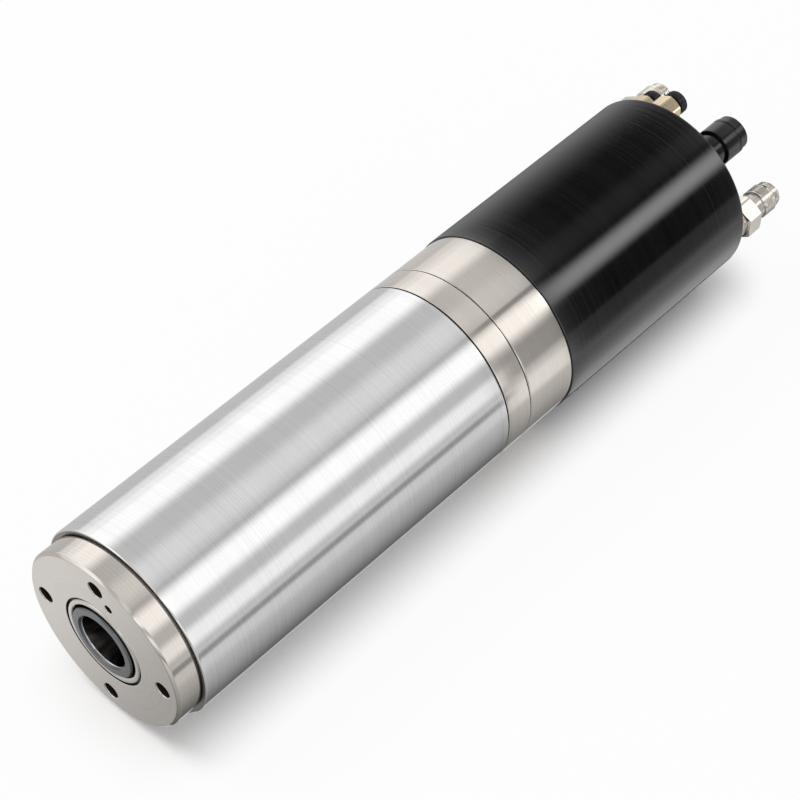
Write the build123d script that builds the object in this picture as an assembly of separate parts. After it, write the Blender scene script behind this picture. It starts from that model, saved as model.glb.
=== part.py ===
from build123d import *

import math
import os

# Motor spindle with a pneumatic tool release, lying along the X axis.
# X runs from the nose to the rear, Z is up, and the origin is the centre of the nose face.
# All sizes are millimetres. A radius is measured from the spindle axis unless it says otherwise.

# ---------------------------------------------------------------- clearances
running_gap = 0.07            # radial gap of a shaft, rod or sleeve that turns or slides in its bore
ball_gap = 0.15               # ball to raceway, and ball to cage pocket
loose_gap = 0.3               # moving piece beside a fixed one
seam_bevel = 0.25             # small bevel on each side of a joint between two casings

# ---------------------------------------------------------------- casing lengths and radii
body_radius = 40.0
casing_wall = 3.1             # wall of the motor housing, which takes all the spigots in its bore
flange_step = 2.0             # how far the flange is smaller than the body
cover_step = 0.5              # how far the rear barrel stands proud of the body
flange_length = 10.4
flange_bevel = 1.1
nose_groove_width = 0.6       # dark groove between the flange and the motor housing
motor_housing_length = 159.0
bearing_ring_length = 12.4    # first plated ring
head_ring_length = 23.9       # second plated ring
cover_length = 107.7
cover_bevel = 0.6

casing_bore_radius = body_radius - casing_wall
flange_radius = body_radius - flange_step
cover_radius = body_radius + cover_step
housing_front_x = flange_length + nose_groove_width
housing_rear_x = housing_front_x + motor_housing_length
bearing_ring_rear_x = housing_rear_x + bearing_ring_length
head_rear_x = bearing_ring_rear_x + head_ring_length
cover_rear_x = head_rear_x + cover_length

# ---------------------------------------------------------------- nose
seal_ring_radius = 18.25
seal_ring_bore = 16.0
seal_ring_length = 5.5
seal_groove_width = 0.85
seal_groove_depth = 1.0
seal_ring_bevel = 0.35
flange_screw_inset = 8.0      # screw circle inside the flange's rim
flange_screw_count = 4
counterbore_radius = 3.6
counterbore_depth = 6.2
air_outlet_inset = 4.8        # air outlet inside the screw circle
air_outlet_angle = 103.5
air_outlet_radius = 1.85
air_outlet_depth = 6.0

flange_screw_circle = flange_radius - flange_screw_inset
air_outlet_circle = flange_screw_circle - air_outlet_inset

# ---------------------------------------------------------------- screws (metric, socket heads)
m4_radius = 2.0
m4_head_radius = 3.5
m4_head_height = 4.0
m4_socket_flats = 3.0
m4_socket_depth = 2.0
m4_clearance_radius = 2.25
screw_bite = 11.0             # thread length in the piece that takes the screw

# ---------------------------------------------------------------- angular contact bearings
bearing_bore_radius = 12.5
bearing_outer_radius = 23.5
bearing_width = 12.0
bearing_bevel = 0.6
ball_radius = 3.175
ball_count = 12
shoulder_step = 0.15          # ring shoulder beyond midway between the ball circle and the ring's back
relieved_wall = 1.6           # outer ring at its low shoulder
cage_inner_gap = 1.1          # cage to inner ring
cage_outer_gap = 0.5          # cage to outer ring
cage_width = 9.6
front_bearing_x = 14.0
bearing_spacer_length = 4.0
rear_bearing_set_back = 14.0  # from the housing's rear face to the rear bearing pair
bearing_seat_lip = 2.5        # radial height of a seat shoulder beside an outer ring
front_seat_lip_length = 4.0
rear_seat_lip_length = 2.0

ball_circle = (bearing_bore_radius + bearing_outer_radius) / 2
inner_shoulder_radius = (bearing_bore_radius + ball_circle) / 2 + shoulder_step
outer_shoulder_radius = (bearing_outer_radius + ball_circle) / 2 - shoulder_step
relieved_shoulder_radius = bearing_outer_radius - relieved_wall
cage_inner_radius = inner_shoulder_radius + cage_inner_gap
cage_outer_radius = outer_shoulder_radius - cage_outer_gap
rear_bearing_x = housing_rear_x - rear_bearing_set_back
second_front_bearing_x = front_bearing_x + bearing_width + bearing_spacer_length
front_bearings_end_x = second_front_bearing_x + bearing_width
second_rear_bearing_x = rear_bearing_x + bearing_width
rear_bearings_end_x = second_rear_bearing_x + bearing_width
front_housing_end_x = front_bearings_end_x + front_seat_lip_length
rear_spigot_x = rear_bearing_x - rear_seat_lip_length
seat_shoulder_radius = bearing_outer_radius - bearing_seat_lip

# ---------------------------------------------------------------- shaft
nose_stand_out = 0.8          # how far the shaft end stands proud of the flange face
nose_radius = 15.1
nose_bevel = 0.4
slinger_radius = 17.8
slinger_x = 6.2
slinger_length = 3.2
shaft_shoulder_radius = 14.8
rotor_seat_radius = 13.5
rotor_shoulder_radius = 15.0
rotor_shoulder_length = 6.0
shaft_rear_reach = 10.6       # how far the shaft reaches behind the first plated ring
lock_nut_radius = 17.5
front_lock_nut_length = 6.0
rear_lock_nut_length = 7.0
lock_nut_slot_width = 4.0
lock_nut_slot_depth = 2.0
pickup_radius = 17.0
pickup_length = 5.0
pickup_tooth_count = 12
pickup_notch_width = 3.2
pickup_notch_depth = 2.2

shaft_end_x = bearing_ring_rear_x + shaft_rear_reach

# 7:24 tool taper, size 20
taper_gauge_radius = 11.0
taper_slope = 7.0 / 48.0      # fall of the radius for each millimetre of depth
taper_length = 26.0
taper_mouth_bevel = 0.85
release_bore_x = 27.0
release_bore_radius = 9.2
clamp_bore_x = 38.0
clamp_bore_radius = 7.7
guide_web_x = 56.0
spring_bore_x = 60.0
spring_bore_radius = 8.2

# ---------------------------------------------------------------- rotor and stator
rotor_inset = 2.0             # rotor core inside the stator core at both ends
rotor_radius = 17.4
rotor_ring_length = 8.0
rotor_ring_radius = 17.1
air_gap = 0.5
stator_front_space = 20.0     # from the front bearing housing to the stator core
stator_rear_space = 12.0      # from the stator core to the rear bearing housing
stator_slot_count = 18
stator_slot_width = 4.0
slot_floor_step = 1.55        # slot floor outside midway between the stator's bore and its back
stator_tooth_tip = 1.2
slot_mouth_width = 1.4
winding_overhang = 9.5
winding_inner_radius = 19.6
winding_inset = 1.6           # end turns inside the jacket's bore
conductor_gap = 0.25

stator_x = front_housing_end_x + stator_front_space
stator_length = rear_spigot_x - stator_rear_space - stator_x
rotor_core_x = stator_x + rotor_inset
rotor_core_length = stator_length - 2 * rotor_inset

# ---------------------------------------------------------------- water jacket
jacket_wall = 6.7             # whole radial thickness of the jacket
jacket_channel_depth = 3.0
jacket_end_space = 7.5        # from each end of the jacket to its first and last channel
jacket_channel_count = 8
jacket_rib_width = 3.0
jacket_port_width = 6.0
jacket_port_depth = 2.2
jacket_feed_radius = 1.5
jacket_feed_inset = 3.9       # feed drillings inside the casing bore
seal_cord_radius = 1.0
seal_groove_side = 0.15       # room beside a sealing ring in its groove
jacket_seal_inset = 3.5

jacket_bore_radius = casing_bore_radius - jacket_wall
jacket_length = rear_spigot_x - front_housing_end_x
jacket_ribs_length = (jacket_channel_count - 1) * jacket_rib_width
jacket_feed_circle = casing_bore_radius - jacket_feed_inset
jacket_channel_width = (jacket_length - 2 * jacket_end_space - jacket_ribs_length) / jacket_channel_count
winding_outer_radius = jacket_bore_radius - winding_inset
stator_bore_radius = rotor_radius + air_gap
slot_floor_radius = (stator_bore_radius + jacket_bore_radius) / 2 + slot_floor_step
stator_slot_depth = slot_floor_radius - stator_tooth_tip - stator_bore_radius

# ---------------------------------------------------------------- drawbar, jaws and disc springs
drawbar_radius = 4.0
drawbar_head_x = 41.0
drawbar_head_length = 4.4
drawbar_neck_radius = 2.7
drawbar_neck_end_x = 50.0
drawbar_nut_length = 20.0
drawbar_nut_set_in = 1.0      # nut inside the shaft's rear end
drawbar_nut_floor = 3.0       # closed end of the nut
disc_spring_inner = 4.3
disc_spring_outer = 7.9
disc_spring_packs = 14
disc_cone_height = 1.1
jaw_count = 4
jaw_span = 78.0               # degrees of the circle that one jaw fills
jaw_x = 33.5
jaw_length = 14.5
jaw_outer_radius = 7.4
jaw_inner_radius = 4.4
jaw_claw_radius = 3.4
jaw_claw_length = 3.0
jaw_hook_radius = 3.1
jaw_hook_length = 2.0

drawbar_nut_end_x = shaft_end_x - drawbar_nut_set_in
drawbar_nut_x = drawbar_nut_end_x - drawbar_nut_length
drawbar_end_x = drawbar_nut_end_x - drawbar_nut_floor

# ---------------------------------------------------------------- release cylinder
cylinder_inset = 6.5          # cylinder wall inside the circle of the ports
head_cavity_room = 3.5        # radial room round the lock nut
head_cavity_depth = 16.6
piston_clearance = 0.2
piston_length = 9.0
front_piston_set_back = 25.7  # from the head's rear face to the front piston
rear_piston_room = 15.0       # from the rear piston to the end plate's pilot
piston_rod_radius = 9.0
piston_core_radius = 8.0
rod_tip_radius = 7.0
rod_tip_gap = 1.3             # rod tip to drawbar nut with a tool clamped
rod_tip_length = 7.0
piston_nut_flats = 18.0
piston_nut_length = 5.0
piston_thread_radius = 6.0
rod_seal_cord = 1.1
divider_set_back = 18.0       # from the front piston to the divider
divider_length = 8.0
clip_width = 1.2
clip_depth = 0.9
clip_height = 2.0
return_air_inset = 5.0        # from the chamber's front wall to the return air drilling
return_spring_radius = 15.0
return_spring_wire = 1.3
return_spring_turns = 4.5

# ---------------------------------------------------------------- rear end plate and its ports
end_plate_seat = 2.2          # radial wall of the cover round the end plate
end_plate_recess = 0.8
end_plate_length = 9.2
pilot_length = 5.0
port_inset = 5.9              # port circle inside the casing bore
water_port_angles = (21.0, 195.0)
air_port_angles = (72.0, 48.0)
connector_angle = 122.0
water_channel_radius = 3.4
air_channel_radius = 2.0
cable_way_wall = 2.5          # between the cable way and the rear bearing seat
tie_bolt_step = 3.0           # bolt circle outside the port circle
tie_bolt_angles = (97.0, 155.0, 240.0, 320.0)
head_screw_step = 0.5         # head screw circle outside the port circle
head_screw_angles = (0.0, 175.0, 218.0, 280.0)

plate_rear_x = cover_rear_x - end_plate_recess
plate_front_x = plate_rear_x - end_plate_length
pilot_front_x = plate_front_x - pilot_length
end_plate_radius = cover_radius - end_plate_seat
port_circle = casing_bore_radius - port_inset
cable_channel_radius = port_circle - bearing_outer_radius - cable_way_wall
tie_bolt_circle = port_circle + tie_bolt_step
head_screw_circle = port_circle + head_screw_step
cylinder_radius = port_circle - cylinder_inset
head_cavity_radius = lock_nut_radius + head_cavity_room
front_piston_x = head_rear_x + front_piston_set_back
divider_x = front_piston_x + divider_set_back
rear_piston_x = pilot_front_x - rear_piston_room

# ---------------------------------------------------------------- sensors
speed_sensor_radius = 3.0
speed_sensor_length = 9.5
speed_sensor_gap = 0.6
position_sensor_radius = 4.0
position_sensor_circle = 15.5
position_sensor_angles = (60.0, 240.0)
position_sensor_reach = 2.7   # how far a sensor stands out of the pilot towards the piston

# ---------------------------------------------------------------- water fittings
water_spigot_radius = 4.9
water_spigot_length = 7.0
washer_radius = 6.8
washer_thickness = 1.0
fitting_barrel_radius = 6.6
fitting_barrel_length = 9.2
fitting_hex_flats = 15.0
fitting_hex_length = 8.4
fitting_thread_radius = 5.7
fitting_thread_length = 15.5
fitting_seat_radius = 3.2     # seat for the hose tail
fitting_seat_length = 16.0
fitting_way_radius = 2.8      # water way below the seat
union_nut_flats = 14.0
union_nut_length = 6.5
union_nut_offset = 5.0        # from the hexagon to the nut
hex_corner_bevel = 0.8

# ---------------------------------------------------------------- push-in air fittings
air_spigot_radius = 4.0
air_hex_flats = 10.4
air_hex_length = 13.8
air_tube_radius = 3.05
air_sleeve_radius = 3.85
air_sleeve_length = 11.0
air_collar_radius = 5.0
air_collar_length = 2.4
air_collar_travel = 1.1
air_collar_rib_count = 20
air_collar_rib_depth = 0.25
air_pocket_depth = 13.0

# ---------------------------------------------------------------- round power connector
connector_neck_radius = 6.9
connector_neck_length = 7.3
connector_thread_radius = 6.0
connector_ring_radius = 8.1
connector_ring_length = 10.1
connector_lip_radius = 7.5
connector_lip_length = 3.4
connector_socket_radius = 5.6
connector_socket_depth = 15.0
connector_insert_length = 7.0
connector_pin_radius = 0.75
connector_pin_length = 3.4
connector_pin_circle = 3.0
connector_pin_count = 4


# ================================================================ shared shapes
def on_circle(radius, angle):
    """The (y, z) place at an angle in degrees, measured from +Y towards +Z."""
    return radius * math.cos(math.radians(angle)), radius * math.sin(math.radians(angle))


def at(place, shape):
    """The shape moved sideways from the spindle axis to a (y, z) place."""
    return Pos(0, place[0], place[1]) * shape


def turned(*profile):
    """A solid of revolution about the X axis from (x, radius) points."""
    outline = Polyline(*profile, close=True)
    return revolve(make_face(outline), Axis.X, 360)


def bar(x_start, x_end, radius, bevel=0.0):
    """A round bar along X, with a bevel at both ends if one is given."""
    if bevel == 0.0:
        return turned((x_start, 0), (x_start, radius), (x_end, radius), (x_end, 0))
    return turned((x_start, 0), (x_start, radius - bevel), (x_start + bevel, radius),
                  (x_end - bevel, radius), (x_end, radius - bevel), (x_end, 0))


def tube(x_start, x_end, inner_radius, outer_radius, bevel=0.0):
    """A round tube along X, with its two outer edges bevelled if a bevel is given."""
    if bevel == 0.0:
        return turned((x_start, inner_radius), (x_start, outer_radius),
                      (x_end, outer_radius), (x_end, inner_radius))
    return turned((x_start, inner_radius), (x_start, outer_radius - bevel), (x_start + bevel, outer_radius),
                  (x_end - bevel, outer_radius), (x_end, outer_radius - bevel), (x_end, inner_radius))


def hexagon(x_start, x_end, across_flats, bevel=0.0):
    """A hexagonal bar along X, its corners turned down at both ends by the bevel."""
    sketch = RegularPolygon(across_flats / 2, 6, major_radius=False)
    prism = Pos(x_start, 0, 0) * Rot(0, 90, 0) * extrude(sketch, x_end - x_start)
    if bevel == 0.0:
        return prism
    corner_radius = across_flats / math.sqrt(3)
    return prism & bar(x_start, x_end, corner_radius, bevel)


def sealing_ring(x, inner_radius, cord_radius):
    """A rubber ring of round section whose hole has the given radius."""
    return Pos(x, 0, 0) * Rot(0, 90, 0) * Torus(inner_radius + cord_radius, cord_radius)


def socket_screw(head_x, shank_end_x):
    """An M4 socket screw along X, its head towards -X and its top face at head_x."""
    head = bar(head_x, head_x + m4_head_height, m4_head_radius, seam_bevel)
    shank = bar(head_x + m4_head_height, shank_end_x, m4_radius)
    socket = hexagon(head_x, head_x + m4_socket_depth, m4_socket_flats)
    return head + shank - socket


def rear_socket_screw(head_x, shank_end_x):
    """The same screw driven from the rear: its head is towards +X, its top face at head_x."""
    head = bar(head_x - m4_head_height, head_x, m4_head_radius, seam_bevel)
    shank = bar(shank_end_x, head_x - m4_head_height, m4_radius)
    socket = hexagon(head_x - m4_socket_depth, head_x, m4_socket_flats)
    return head + shank - socket


# ================================================================ nose
def flange_screw_places():
    pitch = 360 / flange_screw_count
    return [on_circle(flange_screw_circle, pitch * index) for index in range(flange_screw_count)]


def front_flange():
    """Nose flange: bevelled disc with a lip that clamps the front bearing's outer ring."""
    lip_outer = bearing_outer_radius - running_gap
    body = turned((0, seal_ring_radius + seal_groove_width), (0, flange_radius - flange_bevel),
                  (flange_bevel, flange_radius), (flange_length, flange_radius),
                  (flange_length, lip_outer), (front_bearing_x, lip_outer),
                  (front_bearing_x, seat_shoulder_radius), (flange_length, seat_shoulder_radius),
                  (flange_length, seal_ring_radius),
                  (seal_groove_depth, seal_ring_radius), (seal_groove_depth, seal_ring_radius + seal_groove_width))
    for place in flange_screw_places():
        body -= at(place, bar(0, counterbore_depth, counterbore_radius))
        body -= at(place, bar(0, flange_length, m4_clearance_radius))
    outlet_place = on_circle(air_outlet_circle, air_outlet_angle)
    return body - at(outlet_place, bar(0, air_outlet_depth, air_outlet_radius))


def flange_screws():
    head_x = counterbore_depth - m4_head_height
    screw = socket_screw(head_x, flange_length + screw_bite)
    return Compound([at(place, screw) for place in flange_screw_places()])


def nose_seal_ring():
    """Plated ring that closes the gap between flange and shaft for the sealing air."""
    return turned((seal_ring_bevel, seal_ring_bore), (0, seal_ring_bore + seal_ring_bevel),
                  (0, seal_ring_radius - seal_ring_bevel), (seal_ring_bevel, seal_ring_radius),
                  (seal_ring_length, seal_ring_radius), (seal_ring_length, seal_ring_bore))


def front_bearing_housing():
    """Thick ring behind the flange that holds the front bearing pair."""
    body = turned((flange_length, bearing_outer_radius), (flange_length, casing_bore_radius),
                  (front_housing_end_x, casing_bore_radius), (front_housing_end_x, seat_shoulder_radius),
                  (front_bearings_end_x, seat_shoulder_radius), (front_bearings_end_x, bearing_outer_radius))
    for place in flange_screw_places():
        body -= at(place, bar(flange_length, flange_length + screw_bite, m4_radius))
    return body


# ================================================================ bearings
def raceway(x_middle):
    groove = Torus(ball_circle, ball_radius + ball_gap)
    return Pos(x_middle, 0, 0) * Rot(0, 90, 0) * groove


def outer_ring(x_start, relief_side):
    """Outer ring with one shoulder relieved; relief_side is +1 towards +X and -1 towards -X."""
    middle = x_start + bearing_width / 2
    half = bearing_width / 2
    low_x = middle + relief_side * half
    high_x = middle - relief_side * half
    ring = turned((low_x, relieved_shoulder_radius), (low_x, bearing_outer_radius - bearing_bevel),
                  (low_x - relief_side * bearing_bevel, bearing_outer_radius),
                  (high_x + relief_side * bearing_bevel, bearing_outer_radius),
                  (high_x, bearing_outer_radius - bearing_bevel), (high_x, outer_shoulder_radius),
                  (middle, outer_shoulder_radius))
    return ring - raceway(middle)


def inner_ring(x_start):
    ring = tube(x_start, x_start + bearing_width, bearing_bore_radius, inner_shoulder_radius, seam_bevel)
    return ring - raceway(x_start + bearing_width / 2)


def ball_places(x_start):
    middle = x_start + bearing_width / 2
    pitch = 360 / ball_count
    places = [on_circle(ball_circle, pitch * index) for index in range(ball_count)]
    return [(middle, y, z) for y, z in places]


def bearing_balls(x_start):
    return [Pos(*place) * Sphere(ball_radius) for place in ball_places(x_start)]


def bearing_cage(x_start):
    """Machined cage: a ring with one round pocket for each ball."""
    middle = x_start + bearing_width / 2
    cage = tube(middle - cage_width / 2, middle + cage_width / 2, cage_inner_radius, cage_outer_radius)
    pocket = Cylinder(ball_radius + ball_gap, 2 * bearing_outer_radius)
    for index in range(ball_count // 2):
        cage -= Pos(middle, 0, 0) * Rot(90 + index * 360 / ball_count, 0, 0) * pocket
    return cage


def lock_nut(x_start, length):
    """Slotted round nut on the shaft thread."""
    nut = tube(x_start, x_start + length, bearing_bore_radius, lock_nut_radius, seam_bevel)
    slot_middle = lock_nut_radius - lock_nut_slot_depth / 2 + seam_bevel
    slot = Box(length, lock_nut_slot_width, lock_nut_slot_depth + 2 * seam_bevel)
    for index in range(4):
        nut -= Rot(45 + 90 * index, 0, 0) * Pos(x_start + length / 2, 0, slot_middle) * slot
    return nut


# ================================================================ casings
def motor_housing():
    """Aluminium tube round the motor, with a narrow bright rim at its front edge."""
    return tube(housing_front_x, housing_rear_x, casing_bore_radius, body_radius, 2 * seam_bevel)


def jacket_channel_start(index):
    return front_housing_end_x + jacket_end_space + index * (jacket_channel_width + jacket_rib_width)


def jacket_seal_places():
    return front_housing_end_x + jacket_seal_inset, rear_spigot_x - jacket_seal_inset


def water_jacket():
    """Sleeve with ring channels for the cooling water, joined by ports on alternate sides."""
    sleeve = tube(front_housing_end_x, rear_spigot_x, jacket_bore_radius, casing_bore_radius)
    floor_radius = casing_bore_radius - jacket_channel_depth
    for index in range(jacket_channel_count):
        start = jacket_channel_start(index)
        sleeve -= tube(start, start + jacket_channel_width, floor_radius, body_radius)
    port = Box(2 * jacket_rib_width, jacket_port_width, 2 * jacket_port_depth)
    for index in range(jacket_channel_count - 1):
        rib_middle = jacket_channel_start(index) + jacket_channel_width + jacket_rib_width / 2
        turn = Rot(water_port_angles[0] - 90 + 180 * (index % 2), 0, 0)
        sleeve -= turn * Pos(rib_middle, 0, casing_bore_radius) * port
    last_middle = jacket_channel_start(jacket_channel_count - 1) + jacket_channel_width / 2
    first_middle = jacket_channel_start(0) + jacket_channel_width / 2
    for angle, start in zip(water_port_angles, (last_middle, first_middle)):
        sleeve -= at(on_circle(jacket_feed_circle, angle), bar(start, rear_spigot_x, jacket_feed_radius))
    groove_radius = casing_bore_radius - 2 * seal_cord_radius
    half_width = seal_cord_radius + seal_groove_side
    for x in jacket_seal_places():
        sleeve -= tube(x - half_width, x + half_width, groove_radius, body_radius)
    return sleeve


def jacket_seals():
    inner = casing_bore_radius - 2 * seal_cord_radius
    return Compound([sealing_ring(x, inner, seal_cord_radius) for x in jacket_seal_places()])


def port_channels(x_start, x_end, with_air=True):
    """The drilled ways for water, air and cable that run along the casings."""
    ways = [at(on_circle(port_circle, angle), bar(x_start, x_end, water_channel_radius))
            for angle in water_port_angles]
    ways.append(at(on_circle(port_circle, connector_angle), bar(x_start, x_end, cable_channel_radius)))
    if with_air:
        ways += [at(on_circle(port_circle, angle), bar(x_start, x_end, air_channel_radius))
                 for angle in air_port_angles]
    return ways


def rear_bearing_housing():
    """First plated ring, with the spigot that holds the rear bearing pair inside the motor housing."""
    body = turned((rear_spigot_x, seat_shoulder_radius), (rear_spigot_x, casing_bore_radius),
                  (housing_rear_x, casing_bore_radius), (housing_rear_x, body_radius - seam_bevel),
                  (housing_rear_x + seam_bevel, body_radius), (bearing_ring_rear_x - seam_bevel, body_radius),
                  (bearing_ring_rear_x, body_radius - seam_bevel), (bearing_ring_rear_x, bearing_outer_radius),
                  (rear_bearing_x, bearing_outer_radius), (rear_bearing_x, seat_shoulder_radius))
    for way in port_channels(rear_spigot_x, bearing_ring_rear_x, with_air=False):
        body -= way
    thread = bar(bearing_ring_rear_x - screw_bite, bearing_ring_rear_x, m4_radius)
    for angle in head_screw_angles:
        body -= at(on_circle(head_screw_circle, angle), thread)
    return body


def preload_spring():
    """Spring washer that loads the rear outer rings."""
    return tube(rear_bearings_end_x, bearing_ring_rear_x, seat_shoulder_radius + running_gap,
                bearing_outer_radius - running_gap)


def cylinder_head():
    """Second plated ring: it covers the shaft end and closes the front of the release cylinder."""
    cavity_end = bearing_ring_rear_x + head_cavity_depth
    rod_bore = piston_rod_radius + running_gap
    body = turned((bearing_ring_rear_x, head_cavity_radius), (bearing_ring_rear_x, body_radius - seam_bevel),
                  (bearing_ring_rear_x + seam_bevel, body_radius), (head_rear_x - seam_bevel, body_radius),
                  (head_rear_x, body_radius - seam_bevel), (head_rear_x, rod_bore),
                  (cavity_end, rod_bore), (cavity_end, head_cavity_radius))
    for way in port_channels(bearing_ring_rear_x, head_rear_x, with_air=False):
        body -= way
    for angle in head_screw_angles:
        place = on_circle(head_screw_circle, angle)
        body -= at(place, bar(bearing_ring_rear_x, head_rear_x, m4_clearance_radius))
        body -= at(place, bar(head_rear_x - m4_head_height, head_rear_x, counterbore_radius))
    for angle in tie_bolt_angles:
        body -= at(on_circle(tie_bolt_circle, angle), bar(head_rear_x - screw_bite, head_rear_x, m4_radius))
    body -= seal_groove(head_seal_x(), rod_bore)
    return body - sensor_way()


def head_seal_x():
    cavity_end = bearing_ring_rear_x + head_cavity_depth
    return (cavity_end + head_rear_x) / 2


def seal_groove(x, bore_radius):
    """Groove for a rod seal, cut outwards from a bore."""
    half_width = rod_seal_cord + seal_groove_side
    return tube(x - half_width, x + half_width, bore_radius - running_gap, bore_radius + 2 * rod_seal_cord)


def head_screws():
    screw = rear_socket_screw(head_rear_x, bearing_ring_rear_x - screw_bite)
    return Compound([at(on_circle(head_screw_circle, angle), screw) for angle in head_screw_angles])


# ================================================================ release cylinder
def rear_cover():
    """Black barrel: cylinder bore in the middle, drilled ways in its thick wall, end plate recess behind."""
    body = turned((head_rear_x, cylinder_radius), (head_rear_x, cover_radius - seam_bevel),
                  (head_rear_x + seam_bevel, cover_radius), (cover_rear_x - cover_bevel, cover_radius),
                  (cover_rear_x, cover_radius - cover_bevel), (cover_rear_x, end_plate_radius),
                  (plate_front_x, end_plate_radius), (plate_front_x, cylinder_radius))
    for way in port_channels(head_rear_x, plate_front_x):
        body -= way
    for angle in tie_bolt_angles:
        body -= at(on_circle(tie_bolt_circle, angle), bar(head_rear_x, plate_front_x, m4_clearance_radius))
    for start in clip_places():
        body -= tube(start, start + clip_width, cylinder_radius - clip_depth, cylinder_radius + clip_depth)
    crossing = Cylinder(air_channel_radius, port_circle, align=(Align.CENTER, Align.CENTER, Align.MIN))
    for angle, places in zip(air_port_angles, (release_air_places(), return_air_places())):
        for x in places:
            body -= Rot(angle - 90, 0, 0) * Pos(x, 0, 0) * crossing
    return body


def release_air_places():
    """Where the release air enters: behind each piston."""
    behind_front = (front_piston_x + piston_length + divider_x - clip_width) / 2
    behind_rear = (rear_piston_x + piston_length + pilot_front_x) / 2
    return behind_front, behind_rear


def return_air_places():
    """Where the return air enters: at the front end of each chamber, clear of the piston's travel."""
    return head_rear_x + return_air_inset, divider_x + divider_length + return_air_inset


def clip_places():
    return divider_x - clip_width, divider_x + divider_length


def cylinder_divider():
    """Fixed wall between the two piston chambers."""
    rod_bore = piston_rod_radius + running_gap
    outer = cylinder_radius
    body = tube(divider_x, divider_x + divider_length, rod_bore, outer)
    middle = divider_x + divider_length / 2
    half_width = seal_cord_radius + seal_groove_side
    body -= seal_groove(middle, rod_bore)
    return body - tube(middle - half_width, middle + half_width, outer - 2 * seal_cord_radius, body_radius)


def divider_clips():
    """Open spring clips in the barrel that hold the divider from both sides."""
    clips = []
    for start in clip_places():
        clip = tube(start, start + clip_width, cylinder_radius - clip_height, cylinder_radius + clip_depth - running_gap)
        clips.append(clip - Pos(start, 0, -cylinder_radius) * Box(4 * clip_width, 3 * clip_height, 4 * clip_height))
    return Compound(clips)


def cylinder_seals():
    """Rod seals of the head and divider, and the outer rings of the divider and the end plate."""
    middle = divider_x + divider_length / 2
    rod_hole = piston_rod_radius + running_gap
    outer_hole = cylinder_radius - 2 * seal_cord_radius
    return Compound([sealing_ring(head_seal_x(), rod_hole, rod_seal_cord),
                     sealing_ring(middle, rod_hole, rod_seal_cord),
                     sealing_ring(middle, outer_hole, seal_cord_radius),
                     sealing_ring(pilot_seal_x(), outer_hole, seal_cord_radius)])


def pilot_seal_x():
    return pilot_front_x + pilot_length / 2


def piston_rod():
    """Stepped rod: its tip pushes the drawbar nut, and its thread takes the piston nut."""
    tip_x = drawbar_nut_end_x + rod_tip_gap
    tip_end = tip_x + rod_tip_length
    thread_x = rear_piston_x + piston_length
    return turned((tip_x, 0), (tip_x, rod_tip_radius - seam_bevel), (tip_x + seam_bevel, rod_tip_radius),
                  (tip_end, rod_tip_radius), (tip_end, piston_rod_radius), (front_piston_x, piston_rod_radius),
                  (front_piston_x, piston_core_radius), (thread_x, piston_core_radius),
                  (thread_x, piston_thread_radius), (thread_x + piston_nut_length, piston_thread_radius),
                  (thread_x + piston_nut_length, 0))


def release_pistons():
    """Two equal piston discs on one rod."""
    pistons = []
    for start in (front_piston_x, rear_piston_x):
        outer = cylinder_radius - piston_clearance
        disc = tube(start, start + piston_length, piston_core_radius, outer, seam_bevel)
        middle = start + piston_length / 2
        half_width = rod_seal_cord + seal_groove_side
        groove_floor = cylinder_radius - running_gap - 2 * rod_seal_cord
        pistons.append(disc - tube(middle - half_width, middle + half_width, groove_floor, body_radius))
    return Compound(pistons)


def piston_seals():
    inner = cylinder_radius - running_gap - 2 * rod_seal_cord
    return Compound([sealing_ring(start + piston_length / 2, inner, rod_seal_cord)
                     for start in (front_piston_x, rear_piston_x)])


def rod_sleeve():
    """Spacer tube between the pistons; it slides in the divider."""
    return tube(front_piston_x + piston_length, rear_piston_x, piston_core_radius, piston_rod_radius)


def piston_nut():
    start = rear_piston_x + piston_length
    nut = hexagon(start, start + piston_nut_length, piston_nut_flats, hex_corner_bevel)
    return nut - bar(start, start + piston_nut_length, piston_thread_radius)


def return_spring():
    """Coil spring between the head and the front piston, with one flat end coil at each side."""
    free_length = front_piston_x - head_rear_x - 2 * return_spring_wire
    coil = Helix(free_length / return_spring_turns, free_length, return_spring_radius)
    section = Plane(origin=coil @ 0, z_dir=coil % 0) * Circle(return_spring_wire)
    wire = sweep(section, coil, is_frenet=True)
    return Pos(head_rear_x + return_spring_wire, 0, 0) * Rot(0, 90, 0) * wire


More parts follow.
